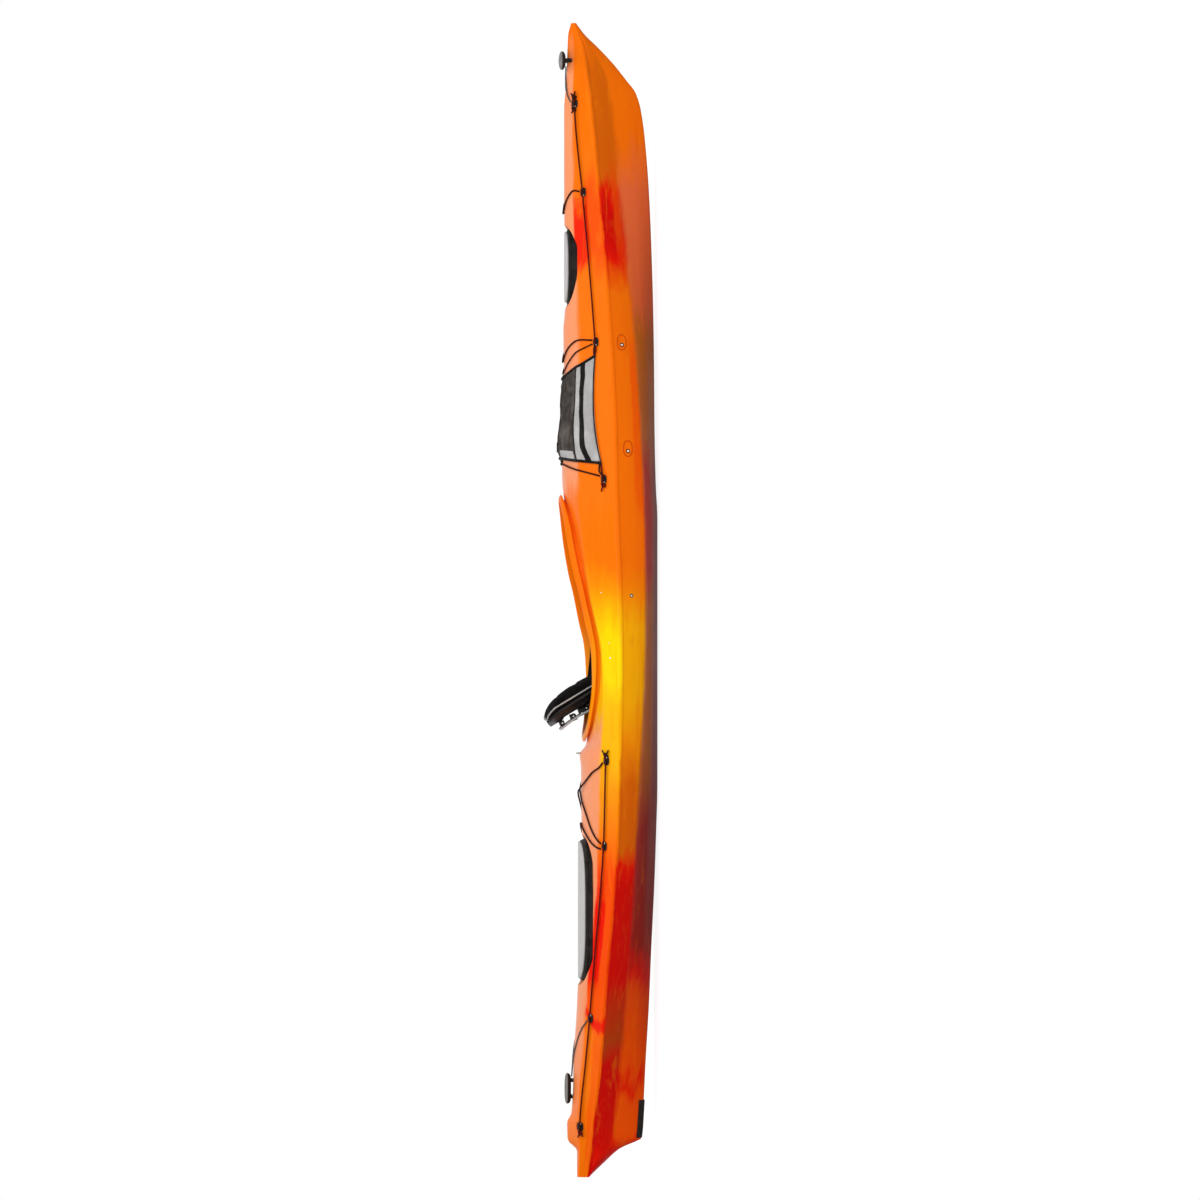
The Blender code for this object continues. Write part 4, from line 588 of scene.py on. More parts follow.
# %% The shell plastic
def finish_shell():
    material, tree, shader = new_finish("shell_plastic", ORANGE, 0.36, sheen=0.04, gleam=0.02)
    for name, value in (("Sheen Roughness", 0.3), ("Coat Weight", 0.2), ("Coat Roughness", 0.12),
                        ("Coat IOR", 1.2)):
        shader.inputs[name].default_value = value
    where = place_of(tree)
    x, level = clouded(tree, where)
    # Below the chine, the bottom's run: partly painted shade and painted reflection.
    side = mix(tree, remap(tree, level, 0.82, 1.06), run_of(tree, x, BOTTOM_RUN_AND_SHADE),
               run_of(tree, x, SIDE_RUN))
    colour = mix(tree, remap(tree, level, 1.94, 2.04), side, run_of(tree, x, DECK_RUN))
    # Over the crown, its own run, with a pale peach that is a painted reflection.
    colour = mix(tree, remap(tree, level, 2.9, 3.1), colour, run_of(tree, x, CROWN_RUN_AND_REFLECTION))
    for along, between, soft, tone, share in PATCHES:
        mask = patch_on(tree, x, level, along, between, soft)
        colour = mix(tree, maths(tree, "MULTIPLY", mask, share), colour, tone)
    # The coaming's run, which ends aft in the painted peach reflection.
    colour = mix(tree, remap(tree, level, 4.4, 4.6), colour, run_of(tree, x, COAMING_RUN_AND_REFLECTION))
    # The rims round the screws' dishes: a darker orange that is painted shade.
    colour = mix(tree, remap(tree, level, 5.4, 5.6), colour, DISH_EDGE_SHADE)
    streaked = lay(tree, "ShaderNodeMapping", {0: where, "Scale": (1.2, 9, 12)})
    veins = cloud(tree, streaked, 2.4, 5, 0.62, 1.2)
    colour = mix(tree, remap(tree, veins, 0.55, 0.75, 0, 0.28), colour, AMBER)
    colour = mix(tree, remap(tree, veins, 0.45, 0.28, 0, 0.35), colour, DEEP_ORANGE)
    speck = cloud(tree, where, 420, 2, 0.7)
    colour = mix(tree, remap(tree, speck, 0.6, 0.8, 0, 0.12), colour, DARK_RED)
    tree.links.new(colour, shader.inputs["Base Color"])
    patches = cloud(tree, where, 6, 3)
    gloss = remap(tree, patches, 0.3, 0.7, 0.3, 0.42)
    worn = remap(tree, level, 1.05, 0.7, 0, 0.3)
    tree.links.new(maths(tree, "ADD", gloss, worn), shader.inputs["Roughness"])
    scratched = lay(tree, "ShaderNodeMapping", {0: where, "Scale": (5, 120, 120)})
    scuffs = remap(tree, cloud(tree, scratched, 3, 2, 0.6), 0.68, 0.75)
    peel = bump(tree, cloud(tree, where, 260, 2), 0.0004, 0.35)
    waves = bump(tree, cloud(tree, where, 9, 1), 0.004, 0.1, peel)
    tree.links.new(bump(tree, scuffs, 0.0002, 0.3, waves), shader.inputs["Normal"])
    return material


SHELL = finish_shell()
print("nodes in the shell plastic:", len(SHELL.node_tree.nodes))


# %% Levels on a mesh
def level_of(x, z):
    """0 on the keel, 1 on the chine, 2 on the gunwale, 3 on the crease, 4 on the centre line."""
    marks = [height(line, x) for line in (KEEL, CHINE, GUNWALE, CREASE, CENTRE)]
    for index, (low, high) in enumerate(zip(marks, marks[1:])):
        if z <= high or index == len(marks) - 2:
            return index + min(1, max(0, (z - low) / max(0.001, high - low)))


def add_levels(mesh, fixed=None):
    """Stores each point's level, or one fixed level, for the shell's finish to read."""
    marks = mesh.attributes.new("level", "FLOAT", "POINT")
    values = [level_of(v.co.x, v.co.z) if fixed is None else fixed for v in mesh.vertices]
    marks.data.foreach_set("value", values)
    return mesh


# %% [markdown]
# ## The shell
# The skin is a loft of some 150 sections of one half, mirrored across the keel. It could also be a
# subdivided cage, but the lines already give every height, so a direct loft keeps them exactly.
# The hatch recesses, the openings and the cockpit are then cut with Booleans, as a moulder would
# rout them out, and the hollow inside is the same section moved in by the wall. A shallow oval dish
# is sunk in each side round every screw of the foot braces.

# %% Sections of the skin
def skin_places():
    """Places of the sections: closer at the ends and where the deck steps down to the cockpit."""
    half = LENGTH / 2
    places = set(evenly(-half, half, 110))
    places |= set(evenly(-half, -half * 0.88, 22)) | set(evenly(half * 0.86, half, 24))
    places |= set(evenly(-half * 0.28, -half * 0.22, 8))
    kept = []
    for place in sorted(places):
        if not kept or place - kept[-1] > 0.0035:
            kept.append(place)
    kept[-1] = half
    return kept


def mirrored_solid(name, rows):
    """Both halves of a hull-like solid from its port rows, which start and end on y = 0."""
    whole = [row + [(x, -y, z) for x, y, z in row[-2:0:-1]] for row in rows]
    return skin(name, whole)


def shell_blank():
    return mirrored_solid("shell", [half_section(x) for x in skin_places()])


# %% The hollow
def inner_half(x, depth):
    """The half section moved inwards, without the ridge."""
    waist = (gunwale_out(x) - RIDGE_OUT, height(GUNWALE, x))
    line = bottom_corners(x) + [waist] + deck_corners(x, (0.8, 0.52, 0.26))
    result = [(x, 0, line[0][1] + depth)]
    for before, here, after in zip(line, line[1:], line[2:]):
        first = (Vector(here) - Vector(before)).normalized()
        second = (Vector(after) - Vector(here)).normalized()
        inward = Vector((-first.y - second.y, first.x + second.x)).normalized()
        square = max(0.5, inward.dot(Vector((-first.y, first.x))))
        moved = Vector(here) + inward * (depth / square)
        result.append((x, max(0.0015, moved.x), moved.y))
    result.append((x, 0, line[-1][1] - depth))
    return result


def hollow_blank():
    places = [x for x in skin_places()[::2] if -0.925 < x / (LENGTH / 2) < 0.915]
    return mirrored_solid("hollow", [inner_half(x, WALL) for x in places])


# %% Rounded ovals for the hatches
BOW_HATCH = {"centre": 1.232, "length": 0.286, "width": 0.196, "floor": 0.3, "height": 0.031,
             "crown": 0.003, "plate": 0.008, "power": 2.3}
STERN_HATCH = {"centre": -1.147, "length": 0.532, "width": 0.35, "floor": 0.246, "height": 0.025,
               "crown": 0.013, "plate": 0.007, "power": 3.0}


def slab_ring(length, width, inset, level, count=40, power=3.0):
    """A ring of points on a rounded oval, moved in from its edge."""
    ring = []
    for index in range(count):
        angle = 2 * math.pi * index / count
        cosine, sine = math.cos(angle), math.sin(angle)
        ring.append(((length / 2 - inset) * math.copysign(abs(cosine) ** (2 / power), cosine),
                     (width / 2 - inset) * math.copysign(abs(sine) ** (2 / power), sine), level))
    return ring


def oval(hatch, inset, level, count=96):
    ring = slab_ring(hatch["length"], hatch["width"], inset, level, count, hatch["power"])
    return [(hatch["centre"] + x, y, z) for x, y, z in ring]


# %% Booleans on plain meshes
def cut(piece, name, mesh):
    """Cuts a mesh out of a piece with one Boolean and throws the tool away."""
    tool = add_object(name, mesh)
    step = piece.modifiers.new("cut", "BOOLEAN")
    step.operation, step.solver, step.object = "DIFFERENCE", "EXACT", tool
    bpy.context.view_layer.update()
    ready = piece.evaluated_get(bpy.context.evaluated_depsgraph_get())
    result = bpy.data.meshes.new_from_object(ready)
    piece.modifiers.clear()
    piece.data = result
    bpy.data.objects.remove(tool)


# %% The cockpit's outline
COAMING_LENGTH, COAMING_WIDTH, COAMING_CENTRE = 0.914, 0.5, -0.068
COAMING_LIP, COAMING_WALL, COAMING_DROP = 0.026, 0.007, 0.013
LIP_LINE = [
    (0, 77), (0.09, 71.6), (0.246, 68.1), (0.334, 68.8), (0.396, 70.3), (0.476, 74.9), (0.6, 81.3),
    (0.673, 85.9), (0.8, 91.9), (0.93, 96.6), (1, 100),
]


def coaming_plan(offset):
    """Plan of the coaming's inner wall, moved outwards: round aft and narrower forward."""
    count = 144
    length, width = COAMING_LENGTH - 2 * COAMING_LIP, COAMING_WIDTH - 2 * COAMING_LIP
    plan = []
    for index in range(count):
        angle = 2 * math.pi * index / count
        cosine, sine = math.cos(angle), math.sin(angle)
        taper = 1 - 0.32 * ((1 + cosine) / 2) ** 2
        y = width / 2 * math.copysign(abs(sine) ** 0.85, sine) * taper / 0.935
        plan.append(Vector((COAMING_CENTRE + length / 2 * cosine, y)))
    moved = []
    for index, point in enumerate(plan):
        ahead = plan[(index + 1) % count] - plan[index - 1]
        moved.append(point + Vector((ahead.y, -ahead.x)).normalized() * offset)
    return moved


def lip_level(x):
    return fair(LIP_LINE, (x - COAMING_CENTRE) / COAMING_LENGTH + 0.5) * DEPTH / 100


# %% Places on the side
BRACE_SCREWS = ((0.949, 0.142), (0.557, 0.122))
DISH_LONG, DISH_WIDE, DISH_DEEP = 0.06, 0.037, 0.0021


def side_out(x, z):
    """Half breadth of the hull's side at a height, between the chine and the ridge."""
    line = [(y, level) for _, y, level in half_section(x)]
    for (y0, z0), (y1, z1) in zip(line[2:], line[3:]):
        if z0 <= z <= z1:
            return y0 + (y1 - y0) * (z - z0) / max(1e-6, z1 - z0)
    return gunwale_out(x)


def axes_at(place, along, normal):
    """Axes with x along the boat, z off its surface and their origin at a place."""
    axes = Matrix((along, normal.cross(along), normal)).transposed().to_4x4()
    axes.translation = place
    return axes


def side_axes(x, z, sign):
    here = Vector((x, sign * side_out(x, z), z))
    along = Vector((x + 0.01, sign * side_out(x + 0.01, z), z)) - here
    upward = Vector((x, sign * side_out(x, z + 0.006), z + 0.006)) - here
    along.normalize()
    normal = along.cross(upward).normalized() * -sign
    if normal.y * sign < 0:
        normal.negate()
    return axes_at(here, along, normal)


def on_skin(shell, axes):
    """The same axes, moved along their z to where they meet the shell."""
    out = axes.to_3x3() @ Vector((0, 0, 1))
    bpy.context.view_layer.update()
    found, place, _, _ = shell.ray_cast(axes.translation + out * 0.03, -out)
    assert found, "no shell under a fitting"
    return Matrix.Translation(place - axes.translation) @ axes


def dish_mesh():
    """The cutter for a shallow oval dish round a screw."""
    rows = [slab_ring(DISH_LONG, DISH_WIDE, inset, level, 40, 2.8) for inset, level in
            ((0.0034, -DISH_DEEP), (0.0018, -0.0018), (0.0004, 0.0), (-0.003, 0.012))]
    return skin("dish", rows)


# %% Cut the shell
RECESS_OUT = 0.012


def build_shell():
    shell = add_object("kayak_shell", shell_blank())
    hollow = add_object("hollow", hollow_blank())
    top = DEPTH + 0.05
    for hatch in (BOW_HATCH, STERN_HATCH):
        floor = hatch["floor"]
        around = [oval(hatch, -RECESS_OUT - WALL, level, 64) for level in (floor - WALL, top)]
        cut(hollow, "around", skin("around", around))
        recess = [oval(hatch, -0.010, floor), oval(hatch, -0.0108, floor + 0.0005),
                  oval(hatch, -RECESS_OUT, floor + 0.003), oval(hatch, -RECESS_OUT, top)]
        cut(shell, "recess", skin("recess", recess))
    cut(shell, "hollow", hollow.data.copy())
    bpy.data.objects.remove(hollow)
    plan = coaming_plan(COAMING_WALL / 2)
    mouth = [[(p.x, p.y, height(GUNWALE, p.x)) for p in plan], [(p.x, p.y, 0.5) for p in plan]]
    cut(shell, "mouth", skin("mouth", mouth))
    for hatch in (BOW_HATCH, STERN_HATCH):
        through = [oval(hatch, 0.008, hatch["floor"] - 0.06), oval(hatch, 0.008, top)]
        cut(shell, "through", skin("through", through))
    for sign in (1, -1):
        for x, z in BRACE_SCREWS:
            dish = dish_mesh()
            dish.transform(on_skin(shell, side_axes(x, z, sign)))
            cut(shell, "dish", dish)
    return shell


shell = build_shell()
as_smooth(add_levels(shell.data), 30)
shell.data.materials.clear()
shell.data.materials.append(SHELL)
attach(shell, "boat")
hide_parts("hull_shell")
print("faces on the shell:", len(shell.data.polygons))


# %% [markdown]
# ## Coaming and hatch collars
# The rim round the cockpit turns outwards so that the elastic of a spray deck can grip under it. It
# is moulded with the deck. Here it is a ring lofted round the opening through a rounded profile,
# sunk a little into the deck, which gives the crisp crease that the real moulding has at its foot.
# Where it stands high, its lip slopes down outwards. The hatches have low collars that their covers
# grip.

# %% Rim of the cockpit
LIP_SLOPE = 0.014


def coaming_mesh():
    inner = coaming_plan(0)
    lip = 0.009
    profile = [(0.0, None), (0.0, 0.006), (0.0008, 0.0028), (0.003, 0.0008), (0.006, 0.0),
               (0.014, 0.0001), (0.021, 0.0008), (0.0242, 0.0022), (0.0258, 0.0045),
               (0.0256, 0.0068), (0.0238, 0.0086), (0.021, 0.0092), (0.0145, 0.0092),
               (0.0098, lip + 0.0016), (COAMING_WALL + 0.0006, lip + 0.005), (COAMING_WALL, None)]
    rows = []
    for offset, drop in profile:
        row = []
        for foot, point in zip(inner, coaming_plan(offset)):
            deck = on_crown(foot.x, foot.y) - WALL - COAMING_DROP
            level = lip_level(foot.x)
            spare = min(LIP_SLOPE, max(0, level - on_crown(foot.x, foot.y) - 0.02))
            tilt = 0 if drop is None else spare * min(1, max(0, (offset - 0.006) / 0.019))
            row.append((point.x, point.y, deck if drop is None else max(deck, level - drop - tilt)))
        rows.append(row)
    rows.append(rows[0])
    return as_smooth(skin("coaming", rows, caps=False), 50)


coaming = add_piece("cockpit_coaming", add_levels(coaming_mesh(), COAMING_LEVEL), "boat", SHELL)
print("faces on the coaming:", len(coaming.data.polygons))


# %% Collars that the hatch covers grip
def collar_mesh(name, hatch):
    inner = 0.005
    rim = hatch["floor"] + hatch["height"] - 0.0044
    foot = hatch["floor"] - 0.012
    profile = [(inner, foot), (inner, rim - 0.0015), (inner + 0.0015, rim),
               (inner + 0.0045, rim), (inner + 0.006, rim - 0.0015), (inner + 0.006, foot),
               (inner, foot)]
    rows = [oval(hatch, inset, level) for inset, level in profile]
    return as_smooth(skin(name, rows, caps=False), 50)


for side, hatch in (("bow", BOW_HATCH), ("stern", STERN_HATCH)):
    mesh = add_levels(collar_mesh(f"{side}_collar", hatch), COLLAR_LEVEL)
    add_piece(f"{side}_hatch_collar", mesh, "boat", SHELL)


# %% [markdown]
# ## Rubber, grey plastic and metal
# Small fittings get their life from fine texture. Hatch rubber is nearly black, dusty and softly
# uneven. The grey tops have a stippled mould texture. Nylon fittings are smooth with a dull gloss.

# %% Finishes of the fittings
def stippled(name, colour, pale, roughness, scale, depth, gleam=0.25):
    """Moulded plastic or rubber: clouded colour, worn roughness and a fine grain."""
    material, tree, shader = new_finish(name, colour, roughness, gleam=gleam)
    where = place_of(tree)
    worn = remap(tree, cloud(tree, where, 34, 5, 0.6), 0.3, 0.8)
    tree.links.new(mix(tree, worn, colour, pale), shader.inputs["Base Color"])
    tree.links.new(remap(tree, cloud(tree, where, 60, 3), 0.3, 0.7, roughness - 0.08,
                         roughness + 0.08), shader.inputs["Roughness"])
    grain = cloud(tree, where, scale, 2, 0.6)
    tree.links.new(bump(tree, grain, depth, 0.6), shader.inputs["Normal"])
    return material


def metal(name, colour, roughness, stretch):
    """Steel or aluminium with fine drawn lines."""
    material, tree, shader = new_finish(name, colour, roughness, metallic=1.0)
    where = lay(tree, "ShaderNodeMapping", {0: place_of(tree), "Scale": stretch})
    lines = cloud(tree, where, 30, 3, 0.7)
    tree.links.new(remap(tree, lines, 0.3, 0.7, roughness - 0.07, roughness + 0.1),
                   shader.inputs["Roughness"])
    tree.links.new(mix(tree, remap(tree, lines, 0.4, 0.8, 0, 0.3), colour,
                       tuple(c * 0.72 for c in colour)), shader.inputs["Base Color"])
    tree.links.new(bump(tree, lines, 0.0001, 0.3), shader.inputs["Normal"])
    return material


RUBBER = stippled("black_rubber", (0.008, 0.007, 0.006), (0.028, 0.024, 0.021), 0.62, 900, 0.0002,
                  0.1)
GREY = stippled("grey_top", (0.5, 0.485, 0.48), (0.54, 0.525, 0.52), 0.5, 1200, 0.0003)
NYLON = stippled("black_nylon", (0.008, 0.007, 0.007), (0.016, 0.014, 0.013), 0.4, 700, 0.0001,
                 0.12)
FOAM = stippled("grey_foam", (0.1, 0.1, 0.105), (0.17, 0.17, 0.175), 0.9, 350, 0.0008)
STEEL = metal("stainless_steel", (0.72, 0.71, 0.69), 0.2, (20, 20, 20))
DULL_STEEL = metal("dull_steel", (0.34, 0.3, 0.24), 0.36, (20, 20, 20))
ALUMINIUM = metal("anodised_rail", (0.6, 0.61, 0.62), 0.34, (1, 60, 60))


# %% [markdown]
# ## Hatches
# Each hatch is a rubber cover that snaps over the collar, with a stiff grey plate set in its top.
# The plates are crowned to shed water. Both are turned from a path of insets and heights round one
# rounded oval, like a profile swept round a curve.

# %% Covers and plates
def crowned(ring, hatch, crown):
    """Raises a ring towards the centre line of the boat."""
    half = hatch["width"] / 2
    return [(x, y, z + crown * (1 - min(1, abs(y) / half) ** 2)) for x, y, z in ring]


def swept_lid(name, hatch, path, crown_from):
    """A lid from a path of (inset, level). Its crown starts at an inset, or everywhere if None."""
    rows = []
    for inset, level in path:
        share = min(1, max(0, (inset - crown_from) / 0.006)) if crown_from else 1
        rows.append(crowned(oval(hatch, inset, level), hatch, hatch["crown"] * share))
    return as_smooth(skin(name, rows), 40)


def build_hatch(side, hatch):
    floor = hatch["floor"] + 0.0006
    top = hatch["floor"] + hatch["height"]
    wide = hatch["width"]
    cover = [(wide * 0.45, top), (wide * 0.35, top), (wide * 0.2, top), (0.016, top),
             (0.0095, top), (0.0085, top + 0.0004), (0.0045, top + 0.0002), (0.0018, top - 0.001),
             (0.0004, top - 0.003), (0, top - 0.006), (0.0005, top - 0.0085),
             (0.0016, top - 0.0095), (0.0016, floor + 0.006), (0.0006, floor + 0.005),
             (0, floor + 0.0035), (0.0006, floor), (0.0036, floor), (0.004, floor + 0.001),
             (0.004, top - 0.004), (wide * 0.2, top - 0.004), (wide * 0.45, top - 0.004)]
    mesh = swept_lid(f"{side}_cover", hatch, cover, 0.003)
    add_piece(f"{side}_hatch_rubber", mesh, f"{side}_hatch_lid", RUBBER, (f"{side}_hatch_cover",))
    base = top + 0.0004
    high = base + hatch["plate"]
    plate = [(wide * 0.45, base), (wide * 0.2, base), (0.0125, base), (0.012, base + 0.0008),
             (0.012, high - 0.0035), (0.0126, high - 0.0016), (0.0142, high - 0.0003),
             (0.0165, high), (0.024, high), (0.0246, high - 0.0012), (0.0268, high - 0.0012),
             (0.0274, high), (wide * 0.2, high), (wide * 0.32, high), (wide * 0.45, high)]
    mesh = swept_lid(f"{side}_plate", hatch, plate, None)
    add_piece(f"{side}_hatch_top", mesh, f"{side}_hatch_lid", GREY, (f"{side}_hatch_plate",))


build_hatch("bow", BOW_HATCH)
build_hatch("stern", STERN_HATCH)


# %% [markdown]
# ## Deck eyes
# Sixteen small nylon eyes carry the rigging. One eye is modelled well and shared: a rounded pad, a
# bent wire arch over the line, and a stainless screw with a cross cut in its head.

# %% One eye and its screw
EYES = [(1.835, 0.86), (1.506, 0.55), (0.951, 0.38), (0.444, 0.26), (-0.592, 0.6), (-0.9065, 0.6),
        (-1.543, 0.62), (-1.946, 0.8)]
EYE_LONG, EYE_WIDE, EYE_BASE, EYE_WIRE, LINE = 0.034, 0.024, 0.003, 0.004, 0.005
EYE_SCREW_AT = 0.0112
SCREW_OUT, SCREW_TALL = 0.0042, 0.0022


def joined(name, meshes):
    """Several meshes as one."""
    form = bmesh.new()
    for mesh in meshes:
        form.from_mesh(mesh)
    result = bpy.data.meshes.new(name)
    form.to_mesh(result)
    form.free()
    return result


def add_set(name, meshes, degrees, body, material):
    """Small parts of one kind, joined into one piece."""
    add_piece(name, as_smooth(joined(name, meshes), degrees), body, material)


def eye_mesh():
    profile = [(0.0006, 0), (0, 0.0006), (0, 0.0019), (0.0008, 0.0027), (0.0022, EYE_BASE)]
    pad = skin("pad", [slab_ring(EYE_LONG, EYE_WIDE, inset, level) for inset, level in profile])
    clear = LINE + 0.0018
    spread = clear / 2 + 0.0009 + EYE_WIRE / 2
    top = clear + EYE_WIRE / 2 + EYE_BASE / 2
    stops = []
    for index in range(17):
        angle = math.pi * index / 16
        rise = top * math.sin(angle) ** 0.6
        stops.append((0, math.cos(angle) * spread, EYE_BASE / 2 + rise))
    arch = cord_mesh("arch", stops, EYE_WIRE / 2, 0.002, 12)
    return as_smooth(joined("deck_eye", [pad, arch]), 40)


def screw_mesh():
    """A pan head with a cross recess."""
    rows = [circle(SCREW_OUT * share, SCREW_TALL * level, 24) for share, level in
            ((1.0, 0), (1.0, 0.35), (0.93, 0.62), (0.78, 0.85), (0.55, 0.97), (0.3, 1.0),
             (0.12, 1.0))]
    head = add_object("head", skin("head", rows))
    for wide, deep in ((0.62, 0.14), (0.14, 0.62)):
        a, b = SCREW_OUT * wide, SCREW_OUT * deep
        ring = [(-a, -b), (a, -b), (a, b), (-a, b)]
        bar = skin("bar", [[(x, y, SCREW_TALL * level) for x, y in ring] for level in (0.45, 2)])
        cut(head, "bar", bar)
    mesh = head.data
    bpy.data.objects.remove(head)
    return as_smooth(mesh, 40)


EYE = eye_mesh()
SCREW = screw_mesh()
print("faces on an eye:", len(EYE.polygons), "and on a screw:", len(SCREW.polygons))


# %% Set the eyes on the deck
def deck_axes(x, girth, lift):
    """Axes on the deck: x along the boat, z off the deck."""
    normal = deck_normal(x, girth)
    along = deck_point(x + 0.01, girth) - deck_point(x - 0.01, girth)
    along = (along - normal * along.dot(normal)).normalized()
    return axes_at(deck_point(x, girth) + normal * lift, along, normal)


def placed(mesh, matrix):
    """A copy of a mesh, moved by a matrix."""
    copy = mesh.copy()
    copy.transform(matrix)
    return copy


screws = []
for number, (x, share) in enumerate(EYES, start=1):
    for side, sign in SIDES:
        axes = deck_axes(x, sign * (2 - share), 0.0006)
        add_piece(f"eye_{number}_{side}", placed(EYE, axes), "boat", NYLON,
                  (f"deck_eye_{number}_{side}",))
        toward = -EYE_SCREW_AT if x > 0.4 else EYE_SCREW_AT
        seat = Matrix.Translation((toward, 0, EYE_BASE - 0.0003))
        screws.append(placed(SCREW, axes @ seat))
add_set("eye_screws", screws, 40, "boat", STEEL)


# %% [markdown]
# ## Rigging
# Braided cord runs through the eyes, and elastic bungee crosses the deck. A cord is a round tube
# with its length in the UV map, so a braid can be drawn as two sets of slanting strands that pass
# over each other. The perimeter line has dark red strands with black ones, and the elastic is black
# brown. Under the deck bag the perimeter line lies a little deeper, so that the bag covers it, and
# where the two long bungees cross behind the cockpit, one rides over the other.

# %% Braid material
def braid(name, dark, light, strands, pitch, fleck):
    """A braided cover: strands cross in two directions, some of them in a second colour."""
    material, tree, shader = new_finish(name, dark, 0.72, sheen=0.02, gleam=0.06)
    uv = lay(tree, "ShaderNodeUVMap", uv_map="braid")
    parts = lay(tree, "ShaderNodeSeparateXYZ", {0: uv})
    around = maths(tree, "MULTIPLY", parts, strands)
    along = maths(tree, "MULTIPLY", parts.node.outputs[1], strands / pitch)
    left = maths(tree, "ADD", around, along)
    right = maths(tree, "SUBTRACT", around, along)
    over = maths(tree, "PINGPONG", left, 0.5)
    under = maths(tree, "PINGPONG", right, 0.5)
    weave = maths(tree, "MAXIMUM", over, under)
    turn = maths(tree, "FLOOR", left)
    picked = lay(tree, "ShaderNodeTexWhiteNoise", {"W": maths(tree, "MODULO", turn, strands)},
                 noise_dimensions="1D")
    chosen = maths(tree, "GREATER_THAN", picked, 1 - fleck)
    crossing = maths(tree, "GREATER_THAN", over, under)
    shown = maths(tree, "MULTIPLY", chosen, crossing)
    colour = mix(tree, shown, dark, light)
    # Darker where the weave dips between the strands: painted shade.
    colour = mix(tree, remap(tree, weave, 0.3, 0.05, 0, 0.7), colour, tuple(c / 4 for c in dark))
    tree.links.new(colour, shader.inputs["Base Color"])
    tree.links.new(bump(tree, weave, 0.0006, 0.8), shader.inputs["Normal"])
    return material


LINE_CORD = braid("deck_line_braid", (0.01, 0.002, 0.002), (0.26, 0.012, 0.006), 8, 0.03, 0.5)
ELASTIC = braid("bungee_braid", (0.022, 0.005, 0.003), (0.12, 0.022, 0.01), 10, 0.018, 0.35)
HANDLE_CORD = braid("handle_cord_braid", (0.07, 0.065, 0.06), (0.22, 0.2, 0.19), 8, 0.014, 0.5)


# %% Routes over the deck
CORD_CLEAR = 0.0012
CROSSING = -0.71


def over_crease(stops):
    """Adds a stop wherever a route crosses the crease, so that it bends there."""
    result = [stops[0]]
    for (x0, g0), (x1, g1) in zip(stops, stops[1:]):
        for edge in (1, -1) if g0 > g1 else (-1, 1):
            if min(g0, g1) < edge < max(g0, g1):
                share = (edge - g0) / (g1 - g0)
                result.append((x0 + (x1 - x0) * share, edge))
        result.append((x1, g1))
    return result


def bent(stops):
    """Rounds a route's corners. Stops are (x, girth)."""
    if len(stops) < 3:
        return stops
    flat = along_path([(x, girth * 0.2, 0) for x, girth in stops], 0.015)
    return [(spot.x, spot.y / 0.2) for spot in flat]


def deck_route(stops, lift, step=0.03, hump=0.0, smooth=False):
    """Points of a cord along the deck, lifted off it, with a hump at the crossing."""
    places = []
    stops = over_crease(bent(stops) if smooth else stops)
    for (x0, g0), (x1, g1) in zip(stops, stops[1:]):
        span = (deck_point(x1, g1) - deck_point(x0, g0)).length
        count = max(1, round(span / step))
        places += [(x0 + (x1 - x0) * i / count, g0 + (g1 - g0) * i / count) for i in range(count)]
    places.append(stops[-1])
    route = []
    for x, girth in places:
        over = hump * math.exp(-((x - CROSSING) / 0.03) ** 2)
        corner = CORD_CLEAR * math.exp(-((abs(girth) - 1) / 0.1) ** 2)
        route.append(above_deck(x, girth, lift + over + corner))
    return route


def eye_girth(number):
    return 2 - EYES[number - 1][1]


def beside_eye(number, radius):
    """Girth where a cord ends beside an eye's pad, up the deck from it."""
    x, girth = EYES[number - 1][0], eye_girth(number)
    step = (deck_point(x, girth) - deck_point(x, girth - 0.1)).length / 0.1
    return girth - (EYE_WIDE / 2 + radius + 0.0006) / step


# %% Perimeter lines
UNDER_BAG, SUNK = (0.495, 0.915), 0.005

for name, numbers in (("fore_line", (1, 2, 3, 4)), ("aft_line", (5, 6, 7, 8))):
    for side, sign in SIDES:
        stops = [(EYES[n - 1][0], sign * eye_girth(n)) for n in numbers]
        first, last = stops[0], stops[-1]
        if name == "fore_line":
            stops[3:3] = [(UNDER_BAG[1], sign * 1.62), (0.87, sign * 1.35), (0.56, sign * 1.3),
                          (0.497, sign * 1.68)]
        stops = [(first[0] + 0.03, first[1]), *stops, (last[0] - 0.03, last[1])]
        route = deck_route(stops, 0.0008 + EYE_BASE + 0.0004 + LINE / 2)
        if name == "fore_line":
            for place in route:
                inside = min(place.x - UNDER_BAG[0], UNDER_BAG[1] - place.x) / 0.02
                place.z -= SUNK * min(1, max(0, inside))
        mesh = cord_mesh(f"{name}_{side}", route, LINE / 2 + 0.0004)
        piece = add_piece(f"{name}_cord_{side}", mesh, "boat", LINE_CORD, (f"{name}_{side}",))
        print(piece.name, "length", round(sum((b - a).length for a, b in zip(route, route[1:])), 3))


# %% Bungees
BUNGEE = 0.006


def bungee_end(number, toward):
    """Where a bungee ends, beside an eye and a little along the boat from it."""
    return (EYES[number - 1][0] + toward, beside_eye(number, BUNGEE / 2))


def both_sides(stops):
    """A route across the whole deck, from its port half."""
    return stops + [(x, -girth) for x, girth in stops[-2::-1]]


